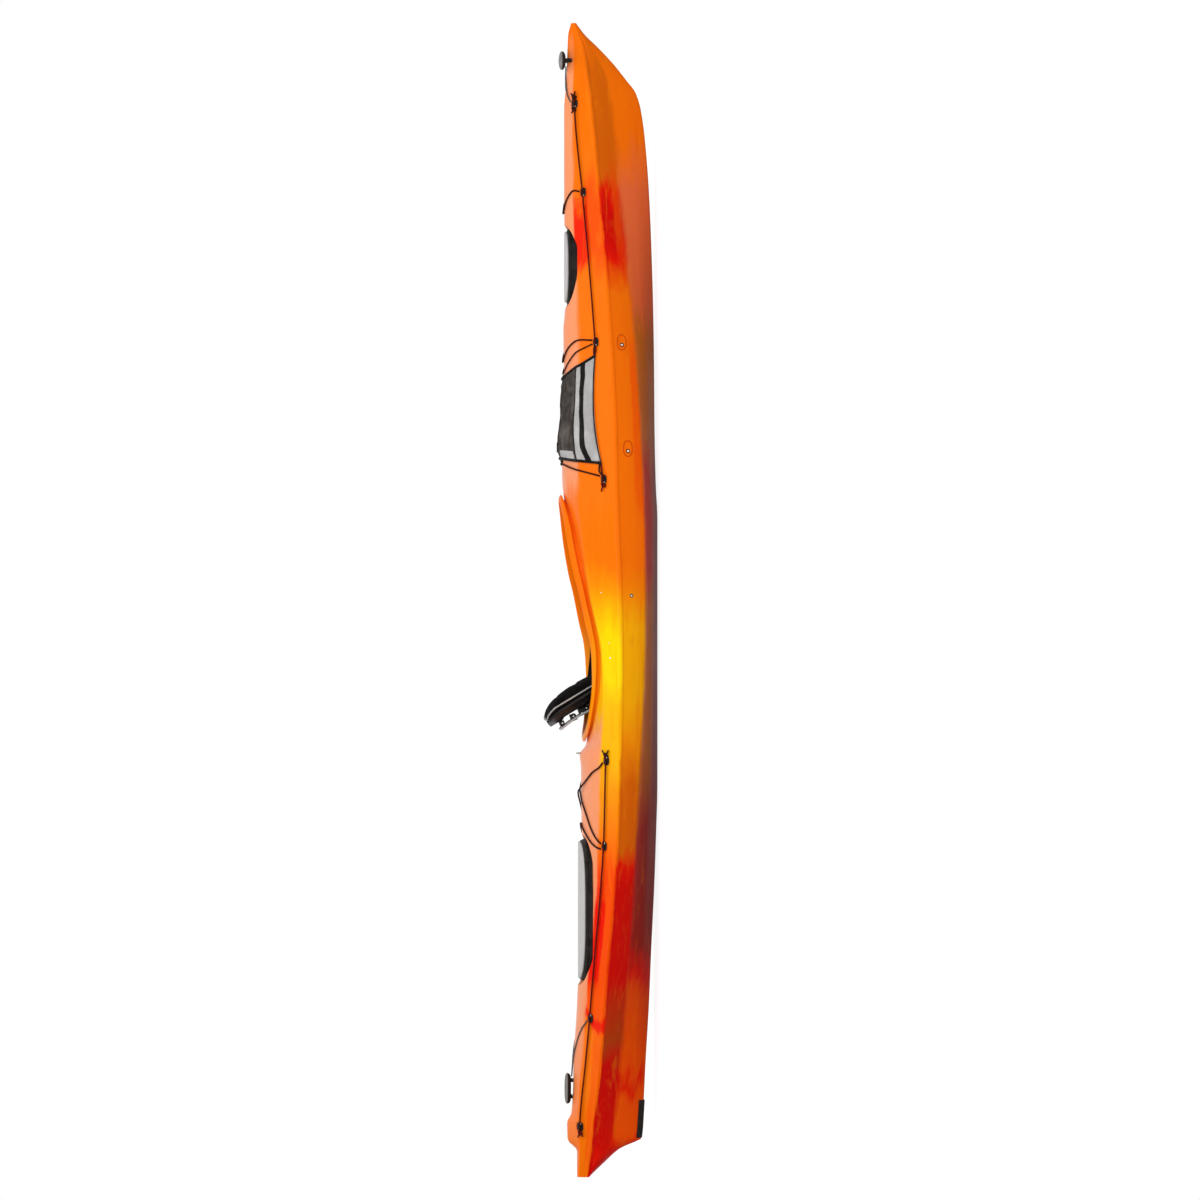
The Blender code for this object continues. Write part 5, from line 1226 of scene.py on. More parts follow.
last_x, last_girth = bungee_end(6, 0.009)
diagonal = [bungee_end(5, -0.006), (-0.617, 1.02), (-0.635, 0.8), (-0.661, 0.58), (-0.694, 0.25),
            (CROSSING, 0.0), (-0.75, -0.28), (-0.79, -0.52), (-0.851, -0.79), (-0.886, -1.02),
            (last_x, -last_girth)]
BUNGEES = {
    "fore_bungee": both_sides([bungee_end(2, 0.002), (1.51, 1.02), (1.475, 0.55), (1.436, 0.2),
                               (1.43, 0)]),
    "bag_bungee_front": both_sides([bungee_end(3, 0.006), (0.957, 1.02), (0.925, 0.55),
                                    (0.886, 0.18), (0.88, 0)]),
    "bag_bungee_rear": both_sides([bungee_end(4, 0.012), (0.478, 1), (0.496, 0.5), (0.503, 0.15),
                                   (0.5035, 0)]),
    "aft_bungee_bar": both_sides([bungee_end(6, -0.01), (-0.913, 1.02), (-0.897, 0.79),
                                  (-0.866, 0.5), (-0.83, 0.15), (-0.826, 0)]),
    "aft_bungee_diagonal_low": diagonal,
    "aft_bungee_diagonal_high": [(x, -girth) for x, girth in diagonal],
}
for name, stops in BUNGEES.items():
    hump = BUNGEE + CORD_CLEAR if name == "aft_bungee_diagonal_high" else 0
    route = deck_route(stops, BUNGEE / 2 + CORD_CLEAR, 0.02, hump, True)
    mesh = cord_mesh(name, route, BUNGEE / 2 + 0.0002)
    add_piece(f"{name}_elastic", mesh, "boat", ELASTIC, (name,))


# %% [markdown]
# ## Moulded seats and knots
# Round each eye the deck has a low oval lip, moulded in, that keeps the eye from turning. The cords
# end in knots. A knot is drawn as a trefoil, the shape that an overhand knot really has, with two
# short tails.

# %% Oval lips round the eyes
def lip_mesh(axes, length, width, tall=0.0018):
    profile = [(0.0, -0.0012), (0.0004, tall * 0.5), (0.0012, tall), (0.0024, tall),
               (0.0034, tall * 0.5), (0.004, -0.0012), (0.0, -0.0012)]
    rows = [slab_ring(length, width, inset, level, 48, 2.4) for inset, level in profile]
    mesh = skin("lip", rows, caps=False)
    mesh.transform(axes)
    return mesh


lips = []
for x, share in EYES:
    for sign in (1, -1):
        lips.append(lip_mesh(deck_axes(x, sign * (2 - share), 0), 0.052, 0.036))
mesh = add_levels(as_smooth(joined("eye_lips", lips), 50))
add_piece("eye_lips", mesh, "boat", SHELL)


# %% Knots
KNOT_CORD = 0.0055

# Knots: the number of the eye, offset from it along the boat and up the deck, size, and where
# the two tails point.
KNOTS = (
    (1, (0.024, 0.04), 0.018, ((0.7, 0.7), (1.0, -0.3))),
    (1, (-0.022, 0.04), 0.016, ((-0.8, 0.5), (-0.6, -0.5))),
    (4, (-0.022, 0.0), 0.018, ((-1.1, 0.5), (-0.4, -0.6))),
    (5, (0.02, 0.02), 0.018, ((0.9, 0.9), (1.0, -0.7))),
    (8, (-0.022, 0.0), 0.016, ((-0.9, 0.6), (-0.7, -0.7))),
)


def knot_mesh(axes, size, tails):
    """A trefoil knot that lies on the deck, with two tails."""
    loop = []
    for step in range(33):
        t = 2 * math.pi * step / 32
        loop.append(Vector((math.sin(t) + 2 * math.sin(2 * t), math.cos(t) - 2 * math.cos(2 * t),
                            -math.sin(3 * t) * 1.1)) * size / 6)
    parts = [cord_mesh("loop", loop, KNOT_CORD / 2, 0.002)]
    for along, across in tails:
        tail = [Vector((0, 0, 0)), Vector((along, across, 0.2)) * size * 0.6,
                Vector((along * 1.15, across * 0.95, 0.05)) * size]
        parts.append(cord_mesh("tail", tail, KNOT_CORD / 2, 0.003))
    mesh = joined("knot", parts)
    mesh.transform(axes @ Matrix.Translation((0, 0, KNOT_CORD * 0.9)))
    return mesh


for number, offset, size, tails in KNOTS:
    for side, sign in SIDES:
        x = EYES[number - 1][0] + offset[0]
        axes = deck_axes(x, sign * (eye_girth(number) - offset[1]), 0.001)
        turned = Matrix.Scale(-sign, 4, (0, 1, 0))
        mesh = as_smooth(knot_mesh(axes @ turned, size, tails), 60)
        label = f"knot_{number}_{'fore' if offset[0] > 0 else 'aft'}_{side}"
        add_piece(label, mesh, "boat", LINE_CORD if number in (4, 8) else ELASTIC)


# %% [markdown]
# ## Screws in the sides
# Four screws in dished oval seats hold the foot brace rails, and small ones hold the thigh braces
# and the seat. Each is set on the boat's side, square to its skin.

# %% Set the screws
side_screws, washers, rims = [], [], []
for sign in (1, -1):
    for x, z in BRACE_SCREWS:
        seat = on_skin(shell, side_axes(x, z, sign)) @ Matrix.Translation((0, 0, DISH_DEEP))
        rims.append(lip_mesh(seat, DISH_LONG + 0.002, DISH_WIDE + 0.002, 0.0014))
        inner = on_skin(shell, side_axes(x - 0.009, z - 0.002, sign))
        washers.append(lip_mesh(inner, 0.016, 0.016, 0.001))
        side_screws.append(placed(SCREW, inner))
    inner = on_skin(shell, side_axes(0.016, 0.11, sign))
    washers.append(lip_mesh(inner, 0.014, 0.014, 0.0006))
    side_screws.append(placed(SCREW, inner @ Matrix.Scale(0.85, 4)))
    for x, girth, size in ((0.027, 1.42, 0.5), (-0.158, 1.5, 0.45), (-0.213, 1.5, 0.75)):
        axes = deck_axes(x, sign * girth, 0)
        side_screws.append(placed(SCREW, axes @ Matrix.Scale(size, 4)))
add_set("side_screws", side_screws, 40, "boat", STEEL)
add_set("side_washers", washers, 40, "boat", NYLON)
# The rims round the dishes take the darker orange of painted shade at each dish's edge.
mesh = add_levels(as_smooth(joined("screw_seat_shade_rims", rims), 50), SHADED_RIM_LEVEL)
add_piece("screw_seat_shade_rims", mesh, "boat", SHELL)


# %% [markdown]
# ## Cloth finishes
# Woven cloth is two sets of threads that pass over each other. On an object without a UV map the
# threads can be waves in space, which keep one scale everywhere. Seat cloth is a coarse black weave
# without sheen. The deck bag is coated grey nylon with a black mesh panel.

# %% Woven cloth
def woven(name, colour, pale, threads, depth, sheen=0.04, roughness=0.85):
    """Cloth with a number of threads per metre, a clouded colour and paler soiled clouds, and
    painted shade between the threads, which leaves its high spots paler.
    """
    material, tree, shader = new_finish(name, colour, roughness, sheen=sheen, gleam=0.04)
    where = place_of(tree)
    thread = {"Vector": where, "Scale": threads / 6.28, "Distortion": 0.4, "Detail": 1.0}
    warp, weft, rise = [lay(tree, "ShaderNodeTexWave", thread, bands_direction=axis, out=1)
                        for axis in "XYZ"]
    cloth = maths(tree, "MAXIMUM", maths(tree, "MULTIPLY", warp, weft), rise)
    soiled = cloud(tree, where, 14, 4, 0.6)
    # Painted shade: darker between the threads, where they pass under each other.
    shade = mix(tree, remap(tree, cloth, 0.2, 0.9), tuple(c * 0.6 for c in colour), colour)
    shade = mix(tree, remap(tree, soiled, 0.4, 0.75, 0, 0.8), shade, pale)
    tree.links.new(shade, shader.inputs["Base Color"])
    creased = bump(tree, cloud(tree, where, 26, 4, 0.6, 0.6), 0.003, 0.35)
    tree.links.new(bump(tree, cloth, depth, 0.6, creased), shader.inputs["Normal"])
    return material


SEAT_CLOTH = woven("seat_cloth", (0.004, 0.003, 0.003), (0.01, 0.008, 0.008), 900, 0.0006, 0.0)
PIPING = woven("grey_piping", (0.42, 0.41, 0.4), (0.5, 0.49, 0.48), 1400, 0.0003)
BAG_GREY = woven("bag_grey_nylon", (0.5, 0.485, 0.48), (0.57, 0.555, 0.55), 1500, 0.0003, 0.05, 0.6)
BAG_MESH = woven("bag_black_mesh", (0.05, 0.042, 0.037), (0.15, 0.13, 0.118), 700, 0.0008)
WEBBING = woven("black_webbing", (0.012, 0.011, 0.011), (0.03, 0.028, 0.026), 1200, 0.0006)


# %% [markdown]
# ## Stuffed pads
# A pad is foam in a sewn cover. Its form comes from a cloth simulation: a slightly small closed
# form is remeshed evenly and blown up by pressure, with the movement of each point capped, as the
# foam fills its cover. The sewn channels are pressed in afterwards, because the remesh would lose
# them. The form is made flat first and then laid on the curved seat.

# %% Blow a form up
VOXEL, PRESSURE, FRAMES = 0.0055, 4, 20


def puffed(mesh, cap):
    """Returns the mesh evenly remeshed and swollen by a cloth simulation."""
    piece = add_object("cover", mesh)
    even = piece.modifiers.new("even", "REMESH")
    even.mode, even.voxel_size = "VOXEL", VOXEL
    bpy.context.view_layer.update()
    scene = bpy.context.scene
    base = bpy.data.meshes.new_from_object(
        piece.evaluated_get(bpy.context.evaluated_depsgraph_get()))
    piece.modifiers.clear()
    piece.data = base
    cloth = piece.modifiers.new("cloth", "CLOTH")
    cloth.settings.use_pressure = True
    cloth.settings.uniform_pressure_force = PRESSURE
    cloth.settings.effector_weights.gravity = 0
    cloth.point_cache.frame_start, cloth.point_cache.frame_end = 1, FRAMES
    for frame_number in range(1, FRAMES + 1):
        scene.frame_set(frame_number)
    swollen = piece.evaluated_get(bpy.context.evaluated_depsgraph_get()).data
    for vertex, moved in zip(base.vertices, swollen.vertices):
        step = moved.co - vertex.co
        vertex.co += step * min(1, cap / max(1e-6, step.length))
    piece.modifiers.clear()
    scene.frame_set(1)
    bpy.data.objects.remove(piece)
    return base


def pad_half(u, length, width, corner):
    """Half width of a pad with round corners, at a place along it."""
    near = length / 2 - abs(u)
    if near >= corner:
        return width / 2
    return width / 2 - corner + math.sqrt(max(0, corner ** 2 - (corner - near) ** 2))


def pad_form(length, width, thick, corner=0.04):
    """A crowned pad lying on z = 0, with x along it and y across. Its sides stand up by a share of
    the thickness, and its top is crowned from there."""
    side, rows, across = 0.4, 44, 28
    result = []
    for step in range(rows + 1):
        u = -math.cos(math.pi * step / rows) * length / 2
        half = pad_half(u, length, width, corner)
        end = 1 - (1 - min(1, (length / 2 - abs(u)) / 0.06)) ** 2
        over = []
        for place in range(across + 1):
            w = -math.cos(math.pi * place / across)
            edge = 1 - (1 - min(1, half * (1 - abs(w)) / 0.05)) ** 2
            crown = math.sqrt(max(0, edge * end))
            over.append((u, half * w, thick * (side + (1 - side) * crown)))
        result.append(over + [(u, py * 0.97, 0) for _, py, _ in over[::-1]])
    return skin("pad", result)


def channelled(mesh, lines, depth, width, low):
    """Presses sewn channels into the top of a pad, across it, with soft pillows between them."""
    for vertex in mesh.vertices:
        if vertex.co.z > low:
            press = sum(math.exp(-((vertex.co.x - line) / width) ** 2) for line in lines)
            vertex.co.z -= depth * press * min(1, (vertex.co.z - low) / 0.01)
    return mesh


def laid(mesh, spot):
    """Moves each point of a flat form to its spot on the seat."""
    for vertex in mesh.vertices:
        vertex.co = spot(vertex.co.x, vertex.co.y, max(0, vertex.co.z))
    return mesh


# %% The backrest's shape
BACK_LEAN, BACK_HINGE = math.radians(31), Vector((-0.24, 0, 0.1))
BACK_LOW, BACK_HIGH, BACK_WIDE, BACK_CURVE, BACK_PLATE = 0.03, 0.37, 0.33, 0.042, 0.008
BACK_UP = Vector((-math.sin(BACK_LEAN), 0, math.cos(BACK_LEAN)))
BACK_FORWARD = Vector((math.cos(BACK_LEAN), 0, math.sin(BACK_LEAN)))
PAD_MIDDLE, PAD_GAP = (BACK_LOW + BACK_HIGH) / 2 + 0.008, 0.0009


def back_at(v, y, depth):
    """A point of the backrest: v up its plate from the hinge, y to port, depth forward."""
    return BACK_HINGE + BACK_UP * v + Vector((0, y, 0)) + BACK_FORWARD * depth


def back_spot(v, y, depth):
    """A point above the curved front of the backrest plate."""
    set_back = BACK_CURVE * (1 - min(1, abs(y) / (BACK_WIDE / 2)) ** 2)
    return back_at(v, y, BACK_PLATE / 2 + PAD_GAP + depth - set_back)


def back_pad_spot(x, y, z):
    bow = max(0, 1 - (x / 0.175) ** 2)
    return back_spot(x + PAD_MIDDLE, y, z * (0.42 + 0.8 * bow))


def subdivided(piece):
    """Makes a piece smoother, by one step of subdivision."""
    step = piece.modifiers.new("smoother", "SUBSURF")
    step.levels = step.render_levels = 1
    return piece


# %% The backrest pad
back_form = puffed(pad_form(0.328, 0.31, 0.044), 0.006)
back_form = channelled(back_form, (-0.085, 0.0, 0.085), 0.0022, 0.004, 0.03)
print("points in the backrest pad:", len(back_form.vertices))
back_pad = add_piece("backrest_pad", as_smooth(laid(back_form, back_pad_spot), 60), "backrest",
                     SEAT_CLOTH, ("backrest_cushion",))
subdivided(back_pad)


# %% Piping round the backrest pad
def pad_edge(length, width, corner):
    """A rounded rectangle, as points (x, y)."""
    count = 14
    ring = []
    for sx, sy, start in ((1, 1, 0), (-1, 1, 90), (-1, -1, 180), (1, -1, 270)):
        for step in range(count + 1):
            angle = math.radians(start + 90 * step / count)
            ring.append((sx * (length / 2 - corner) + corner * math.cos(angle),
                         sy * (width / 2 - corner) + corner * math.sin(angle)))
    return ring + ring[:1]


edge = [back_pad_spot(x, y, 0.01) for x, y in pad_edge(0.326, 0.319, 0.054)]
add_piece("backrest_piping", cord_mesh("backrest_piping", edge, 0.003, 0.006), "backrest", PIPING)


# %% Back of the backrest: a bar with its struts and bolts
def plank(name, stops, wide, thick):
    """A flat bar through stops of (v, depth), wide across the boat, with its edges rounded."""
    edge = 0.0012
    rows = []
    for index, (v, depth) in enumerate(stops):
        before, after = stops[max(0, index - 1)], stops[min(len(stops) - 1, index + 1)]
        run = Vector((after[0] - before[0], after[1] - before[1])).normalized()
        off = Vector((-run.y, run.x)) * thick / 2
        row = []
        for y, share in ((-wide / 2, 0.5), (-wide / 2 + edge, 1), (wide / 2 - edge, 1),
                         (wide / 2, 0.5), (wide / 2, -0.5), (wide / 2 - edge, -1),
                         (-wide / 2 + edge, -1), (-wide / 2, -0.5)):
            row.append(back_at(v + off.x * share, y, depth + off.y * share))
        rows.append(row)
    return skin(name, rows)


BAR_BACK = -0.073


def bar_depth(v):
    return BAR_BACK + 0.01 * math.sin((v - 0.16) * 16)


bar = plank("bar", [(v, bar_depth(v)) for v in evenly(0.2, 0.345, 14)], 0.13, 0.008)
add_piece("backrest_rear_bar", as_smooth(bar, 30), "backrest", GREY)
struts = []
for y in (-0.05, 0.05):
    for v, thick in ((0.226, 0.05), (0.278, 0.02), (0.326, 0.016)):
        stem = [(v, -0.046), (v + 0.002, -0.058), (v + 0.003, BAR_BACK + 0.003)]
        strut = plank("strut", stem, 0.016, thick)
        strut.transform(Matrix.Translation((0, y, 0)))
        struts.append(strut)
add_set("backrest_struts", struts, 30, "backrest", NYLON)
bolts = []
for y in (-0.05, 0.05):
    for v in (0.235, 0.33):
        axes = Matrix((BACK_UP, Vector((0, 1, 0)), -BACK_FORWARD)).transposed().to_4x4()
        axes.translation = back_at(v, y, bar_depth(v) - 0.0025)
        bolts.append(placed(SCREW, axes))
for sign in (1, -1):
    for v, depth in ((0.222, -0.052), (0.246, -0.06), (0.279, -0.053), (0.327, -0.054)):
        axes = Matrix((BACK_UP, BACK_FORWARD, Vector((0, sign, 0)))).transposed().to_4x4()
        axes.translation = back_at(v, sign * 0.058, depth)
        bolts.append(placed(SCREW, axes @ Matrix.Scale(0.8, 4)))
add_set("backrest_bolts", bolts, 40, "backrest", STEEL)


# %% The seat cushion
def seat_level(x, y):
    """Top of the seat pan."""
    side = max(0, (abs(y) / 0.185 - 0.72) / 0.28)
    front = max(0, (x + 0.01) / 0.13)
    return 0.036 + 0.1 * side ** 1.6 + 0.03 * front ** 1.8


def seat_spot(x, y, z):
    place = x - 0.0485
    return Vector((place, y, seat_level(place, y) + PAD_GAP + z))


seat_form = puffed(pad_form(0.3, 0.242, 0.018, 0.03), 0.004)
seat_form = channelled(seat_form, (-0.075, 0.0, 0.075), 0.004, 0.006, 0.012)
seat_pad = add_piece("seat_pad", as_smooth(laid(seat_form, seat_spot), 60), "boat", SEAT_CLOTH,
                     ("seat_cushion",))
subdivided(seat_pad)
edge = [seat_spot(x, y, 0.008) for x, y in pad_edge(0.306, 0.248, 0.033)]
add_piece("seat_piping", cord_mesh("seat_piping", edge, 0.0022, 0.006), "boat", PIPING)


# %% Hip pads inside the coaming
def hip_pad_mesh(sign):
    form = puffed(pad_form(0.28, 0.085, 0.014, 0.02), 0.004)
    form = channelled(form, (-0.05, 0.05), 0.003, 0.005, 0.01)
    plan = [p for p in coaming_plan(0) if p.y > 0]

    def spot(x, y, z):
        place = x - 0.245
        near = min(plan, key=lambda p: abs(p.x - place))
        sunk = 0.027 * min(1, max(0, (place + 0.29) / 0.17))
        level = lip_level(place) - 0.04 - sunk + y
        return Vector((place, sign * (near.y - 0.006 - z), level))

    return as_smooth(laid(form, spot), 60)


for side, sign in SIDES:
    hip_pad = add_piece(f"hip_pad_{side}", hip_pad_mesh(sign), "boat", SEAT_CLOTH)
    subdivided(hip_pad)


# %% [markdown]
# ## Deck bag
# The bag is a low saddle of coated cloth strapped over the foredeck. Its top is a dark mesh that
# lies in folds along the boat, its sides are grey, and a black tape is sewn down each side. The
# shell is lofted from the deck's own surface, with the stuffing and the folds as heights, because a
# remesh would blur its panels. Tapes, binding, zip and clips are laid on it as pieces of their
# own.

# %% Surface of the bag
BAG_AFT, BAG_FRONT, BAG_CORNER, BAG_GIRTH = 0.514, 0.82, 0.905, 1.52


def bag_x(share, girth):
    front = BAG_FRONT + (BAG_CORNER - BAG_FRONT) * abs(girth / BAG_GIRTH) ** 1.6
    back = BAG_AFT + 0.006 - 0.022 * abs(girth / BAG_GIRTH) ** 1.5
    return back + (front - back) * share


def drawn_out(share, girth):
    """The girth on the deck. The hem's corners are drawn out towards the eyes."""
    pull = 0.2 * max(0, 1 - share / 0.55) ** 2 + 0.1 * max(0, (share - 0.55) / 0.45) ** 2 - 0.02
    beyond = max(0, abs(girth) - 1) / (BAG_GIRTH - 1)
    return math.copysign(abs(girth) + beyond * pull, girth)


def bag_thickness(share, girth):
    """How far the bag's top stands off the deck."""
    stuffed = 0.005 + 0.012 * math.exp(-((share - 0.33) / 0.26) ** 2) + 0.003 * (1 - share)
    ends = min(1, max(0, min(share, 1 - share)) / 0.09) ** 0.6
    sides = min(1, (1 - abs(girth) / BAG_GIRTH) / 0.16) ** 0.5
    place = Vector((share * 3.0, girth * 5.5, 0.3))
    folds = 0.0032 * noise.noise(place) + 0.0016 * noise.noise(place * 2.7)
    folds *= 1.6 if abs(girth) < 1 else 0.7
    ribs = 0.0012 * math.sin(abs(girth) * 34) if abs(girth) < 0.95 else 0
    return 0.003 + (stuffed + folds + ribs) * ends * sides


def bag_spot(share, girth, lift=0.0):
    lift += 0.0014 + bag_thickness(share, girth)
    return above_deck(bag_x(share, girth), drawn_out(share, girth), lift)


def bag_mesh():
    shares = sorted({*evenly(0, 0.06, 6), *evenly(0.06, 0.94, 54), *evenly(0.94, 1, 6)})
    girths = sorted({*evenly(-BAG_GIRTH, BAG_GIRTH, 100), 1.0, -1.0})
    rows = []
    for share in shares:
        over = [bag_spot(share, girth) for girth in girths]
        under = [above_deck(bag_x(share, girth), drawn_out(share, girth), 0.0014)
                 for girth in girths[::-1]]
        rows.append(over + under)
    mesh = skin("deck_bag", rows)
    mesh.materials.append(BAG_MESH)
    mesh.materials.append(BAG_GREY)
    around = girths + girths[::-1]
    for face in mesh.polygons:
        share = sum(shares[v // len(around)] for v in face.vertices) / len(face.vertices)
        girth = sum(abs(around[v % len(around)]) for v in face.vertices) / len(face.vertices)
        grey = girth > 1 or (0.03 < share < 0.115 and 0.2 < girth < 0.93)
        face.material_index = 1 if grey else 0
    return as_smooth(mesh, 50)


bag = add_piece("bag_shell", bag_mesh(), "boat", BAG_MESH, ("deck_bag",))
print("faces on the bag:", len(bag.data.polygons))


# %% Tape, binding and zip
def tape_mesh(name, line, half, thick, wobble=0.0):
    """A flat tape sewn along the bag. line gives (share, girth) at a place from 0 to 1, and half is
    its half width in girth."""
    rows = []
    for t in evenly(0, 1, 60):
        share, girth = line(t)
        girth += wobble * noise.noise(Vector((t * 6, 0.5, 1.7)))
        rows.append([bag_spot(share, girth + half * side, lift + 0.0003) for side, lift in
                     ((-1, 0), (-1, thick), (0, thick * 1.2), (1, thick), (1, 0))])
    return as_smooth(skin(name, rows), 50)


def sew_on(name, mesh):
    add_piece(name, mesh, "boat", WEBBING)


for side, sign in SIDES:
    tape = tape_mesh("tape", lambda t: (0.004 + 0.992 * t, sign * (1.23 - 0.03 * t)), 0.065,
                     0.0014, 0.05)
    sew_on(f"bag_tape_{side}", tape)
    trim = tape_mesh("trim", lambda t: (0.004 + 0.992 * t, sign * 1.0), 0.012, 0.0008)
    sew_on(f"bag_seam_{side}", trim)
for name, share in (("aft", 0.012), ("fore", 0.988)):
    edge = [bag_spot(share, g, 0.001) for g in evenly(-BAG_GIRTH, BAG_GIRTH, 60)]
    sew_on(f"bag_binding_{name}", cord_mesh("binding", edge, 0.0052, 0.006))
for side, sign in SIDES:
    edge = [bag_spot(t, sign * (BAG_GIRTH - 0.004), 0.0008) for t in evenly(0, 1, 40)]
    sew_on(f"bag_hem_{side}", cord_mesh("hem", edge, 0.0022, 0.006))
zip_tape = tape_mesh("zip_tape", lambda t: (0.16 + 0.76 * t, 0.0), 0.055, 0.001)
sew_on("bag_zip_tape", zip_tape)
teeth = cord_mesh("teeth", [bag_spot(0.17 + 0.74 * t, 0.0, 0.0018) for t in evenly(0, 1, 40)],
                  0.0016, 0.003, 8)
add_piece("bag_zip_teeth", teeth, "boat", ELASTIC)


# %% Zip slider and clips
def block_mesh(name, length, width, tall):
    round_off = 0.0015
    profile = [(round_off, 0), (0, round_off), (0, tall - round_off), (round_off, tall)]
    return skin(name, [slab_ring(length, width, inset, level, 32, 5) for inset, level in profile])


def bag_axes(share, girth, lift):
    along = (bag_spot(share + 0.02, girth) - bag_spot(share - 0.02, girth)).normalized()
    across = bag_spot(share, girth + 0.03) - bag_spot(share, girth - 0.03)
    return axes_at(bag_spot(share, girth, lift), along, along.cross(across).normalized())


slider = joined("slider", [placed(block_mesh("body", 0.014, 0.01, 0.005), bag_axes(0.18, 0, 0.001)),
                           placed(block_mesh("pull", 0.028, 0.007, 0.0025),
                                  bag_axes(0.18, 0, 0.004) @ Matrix.Translation((-0.018, 0, 0)))])
add_piece("bag_zip_slider", as_smooth(slider, 40), "boat", NYLON)
clips = []
for girth in (-0.12, 0.12):
    axes = bag_axes(0.0, girth, -0.004) @ Matrix.Translation((-0.009, 0, 0))
    clips += [placed(block_mesh("clip", 0.024, 0.018, 0.008), axes),
              placed(block_mesh("tongue", 0.016, 0.012, 0.005),
                     axes @ Matrix.Translation((0.016, 0, 0.001)))]
add_set("bag_clips", clips, 40, "boat", NYLON)


# %% Cords from the bag's corners to the eyes
for side, sign in SIDES:
    for name, number, share, toward in (("fore", 3, 0.99, -0.012), ("aft", 4, 0.01, 0.012)):
        eye_x = EYES[number - 1][0]
        start = bag_spot(share, sign * (BAG_GIRTH - 0.03), 0.001)
        girth = sign * (eye_girth(number) + BAG_GIRTH) / 2
        middle = above_deck((start.x + eye_x) / 2, girth, 0.006)
        stop = above_deck(eye_x + toward, sign * eye_girth(number), 0.0072)
        corner = cord_mesh("corner", [start, middle, stop], 0.0032, 0.005)
        sew_on(f"bag_corner_{name}_{side}", corner)
front_edge = [bungee_end(3, -0.008), (0.916, 1.02), (0.878, 0.62), (0.844, 0.25), (0.836, 0)]
route = deck_route(both_sides(front_edge), BUNGEE / 2 + CORD_CLEAR, 0.02, smooth=True)
add_piece("bag_bungee_edge", cord_mesh("bag_bungee_edge", route, 0.0027), "boat", ELASTIC)


# %% [markdown]
# ## Carry handles
# Each handle is an oval rubber grip with a grey top, on two feet that rest on the deck. A thin cord
# holds it to the eyes. The grip is swept from an oval like the hatches, with its edges rounded, and
# finger grooves are pressed into its rim.

# %% Grips
GRIP_LONG, GRIP_WIDE, GRIP_TALL = 0.115, 0.07, 0.012
LOOP_CORD, GAP = 0.0025, 0.0004


def grip_ring(centre, along, inset, level, ribs=0.0):
    """A ring of the grip, with finger grooves in its rim where ribs is more than 0."""
    count = 96
    long, wide = (GRIP_LONG, GRIP_WIDE) if along else (GRIP_WIDE, GRIP_LONG)
    ring = slab_ring(long, wide, inset, level, count, 2.4)
    moved = []
    for index, (x, y, z) in enumerate(ring):
        pull = 1 - ribs * (0.5 + 0.5 * math.cos(2 * math.pi * index * 12 / count))
        moved.append((centre + x * pull, y * pull, z))
    return moved


def build_handle(name, centre, base, along, number):
    under = [(0.026, 0.0006), (0.018, 0.0), (0.012, 0.0009), (0.0072, 0.0028), (0.0036, 0.0052),
             (0.0014, 0.0078), (0.0005, 0.0102), (0.001, GRIP_TALL)]
    rows = [grip_ring(centre, along, inset, base + level, 0.02 if 0.002 < level < 0.011 else 0)
            for inset, level in under]
    parts = [skin("grip", rows)]
    for sign in (-1, 1):
        x = centre + (sign * 0.03 if along else 0)
        y = 0 if along else sign * 0.03
        low = max(on_crown(x + i * 0.007, y + j * 0.007) for i in (-1, 0, 1) for j in (-1, 0, 1))
        foot = [(0.0076, low + 0.0005), (0.008, low + 0.0016), (0.0072, low + 0.004),
                (0.0074, base - 0.002), (0.0105, base + 0.002)]
        parts.append(skin("foot", [circle(radius, level, 28, x, y) for radius, level in foot]))
    add_piece(f"{name}_grip", as_smooth(joined("grip", parts), 40), name, RUBBER,
              (f"{name}_pad",))
    top = base + GRIP_TALL + GAP
    over = [(0.002, 0.0), (0.0004, 0.0006), (0.0, 0.0017), (0.0009, 0.0034), (0.0028, 0.0052),
            (0.006, 0.007), (0.0104, 0.0085), (0.0134, 0.0089), (0.015, 0.0088), (0.0168, 0.0095),
            (0.0215, 0.0104), (0.027, 0.0109), (0.033, 0.0111)]
    rows = [grip_ring(centre, along, inset, top + level) for inset, level in over]
    add_piece(f"{name}_top", as_smooth(skin("top", rows), 35), name, GRIP_GREY, (f"{name}_cap",))
    length = GRIP_LONG if along else GRIP_WIDE
    build_handle_cord(name, centre, base, length, number)


def build_handle_cord(name, centre, base, length, number):
    """The cord runs from one eye, under the nose of the grip, and back to the other eye."""
    eye_x = EYES[number - 1][0]
    toward = math.copysign(1, eye_x - centre)
    nose_x = centre + toward * (length / 2 - 0.012)
    nose = Vector((nose_x, 0, base - LOOP_CORD - GAP))
    run = nose_x - eye_x
    end = beside_eye(number, LOOP_CORD)
    stops = [(eye_x + run * 0.04, end), (eye_x + run * 0.3, end * 0.6), (eye_x + run * 0.75, 0.14)]
    half = deck_route(stops, LOOP_CORD + CORD_CLEAR, 0.025, smooth=True)
    points = half + [nose] + [Vector((p.x, -p.y, p.z)) for p in half[::-1]]
    add_piece(f"{name}_loop", cord_mesh("loop", points, LOOP_CORD, 0.005), name, HANDLE_CORD,
              (f"{name}_cord",))


GRIP_GREY = stippled("grip_grey", (0.17, 0.155, 0.15), (0.3, 0.28, 0.27), 0.6, 1000, 0.0003)
build_handle("bow_handle", 1.996, 0.34, False, 1)
build_handle("stern_handle", -1.807, 0.319, True, 7)


# %% [markdown]
# ## The pieces that keep their frame shape
# Seat pan, braces, rails, pedals, wear plate, hinge and bulkheads already have their shape. They
# get their finishes here, and a small bevel where their edges would be too sharp for a moulding.

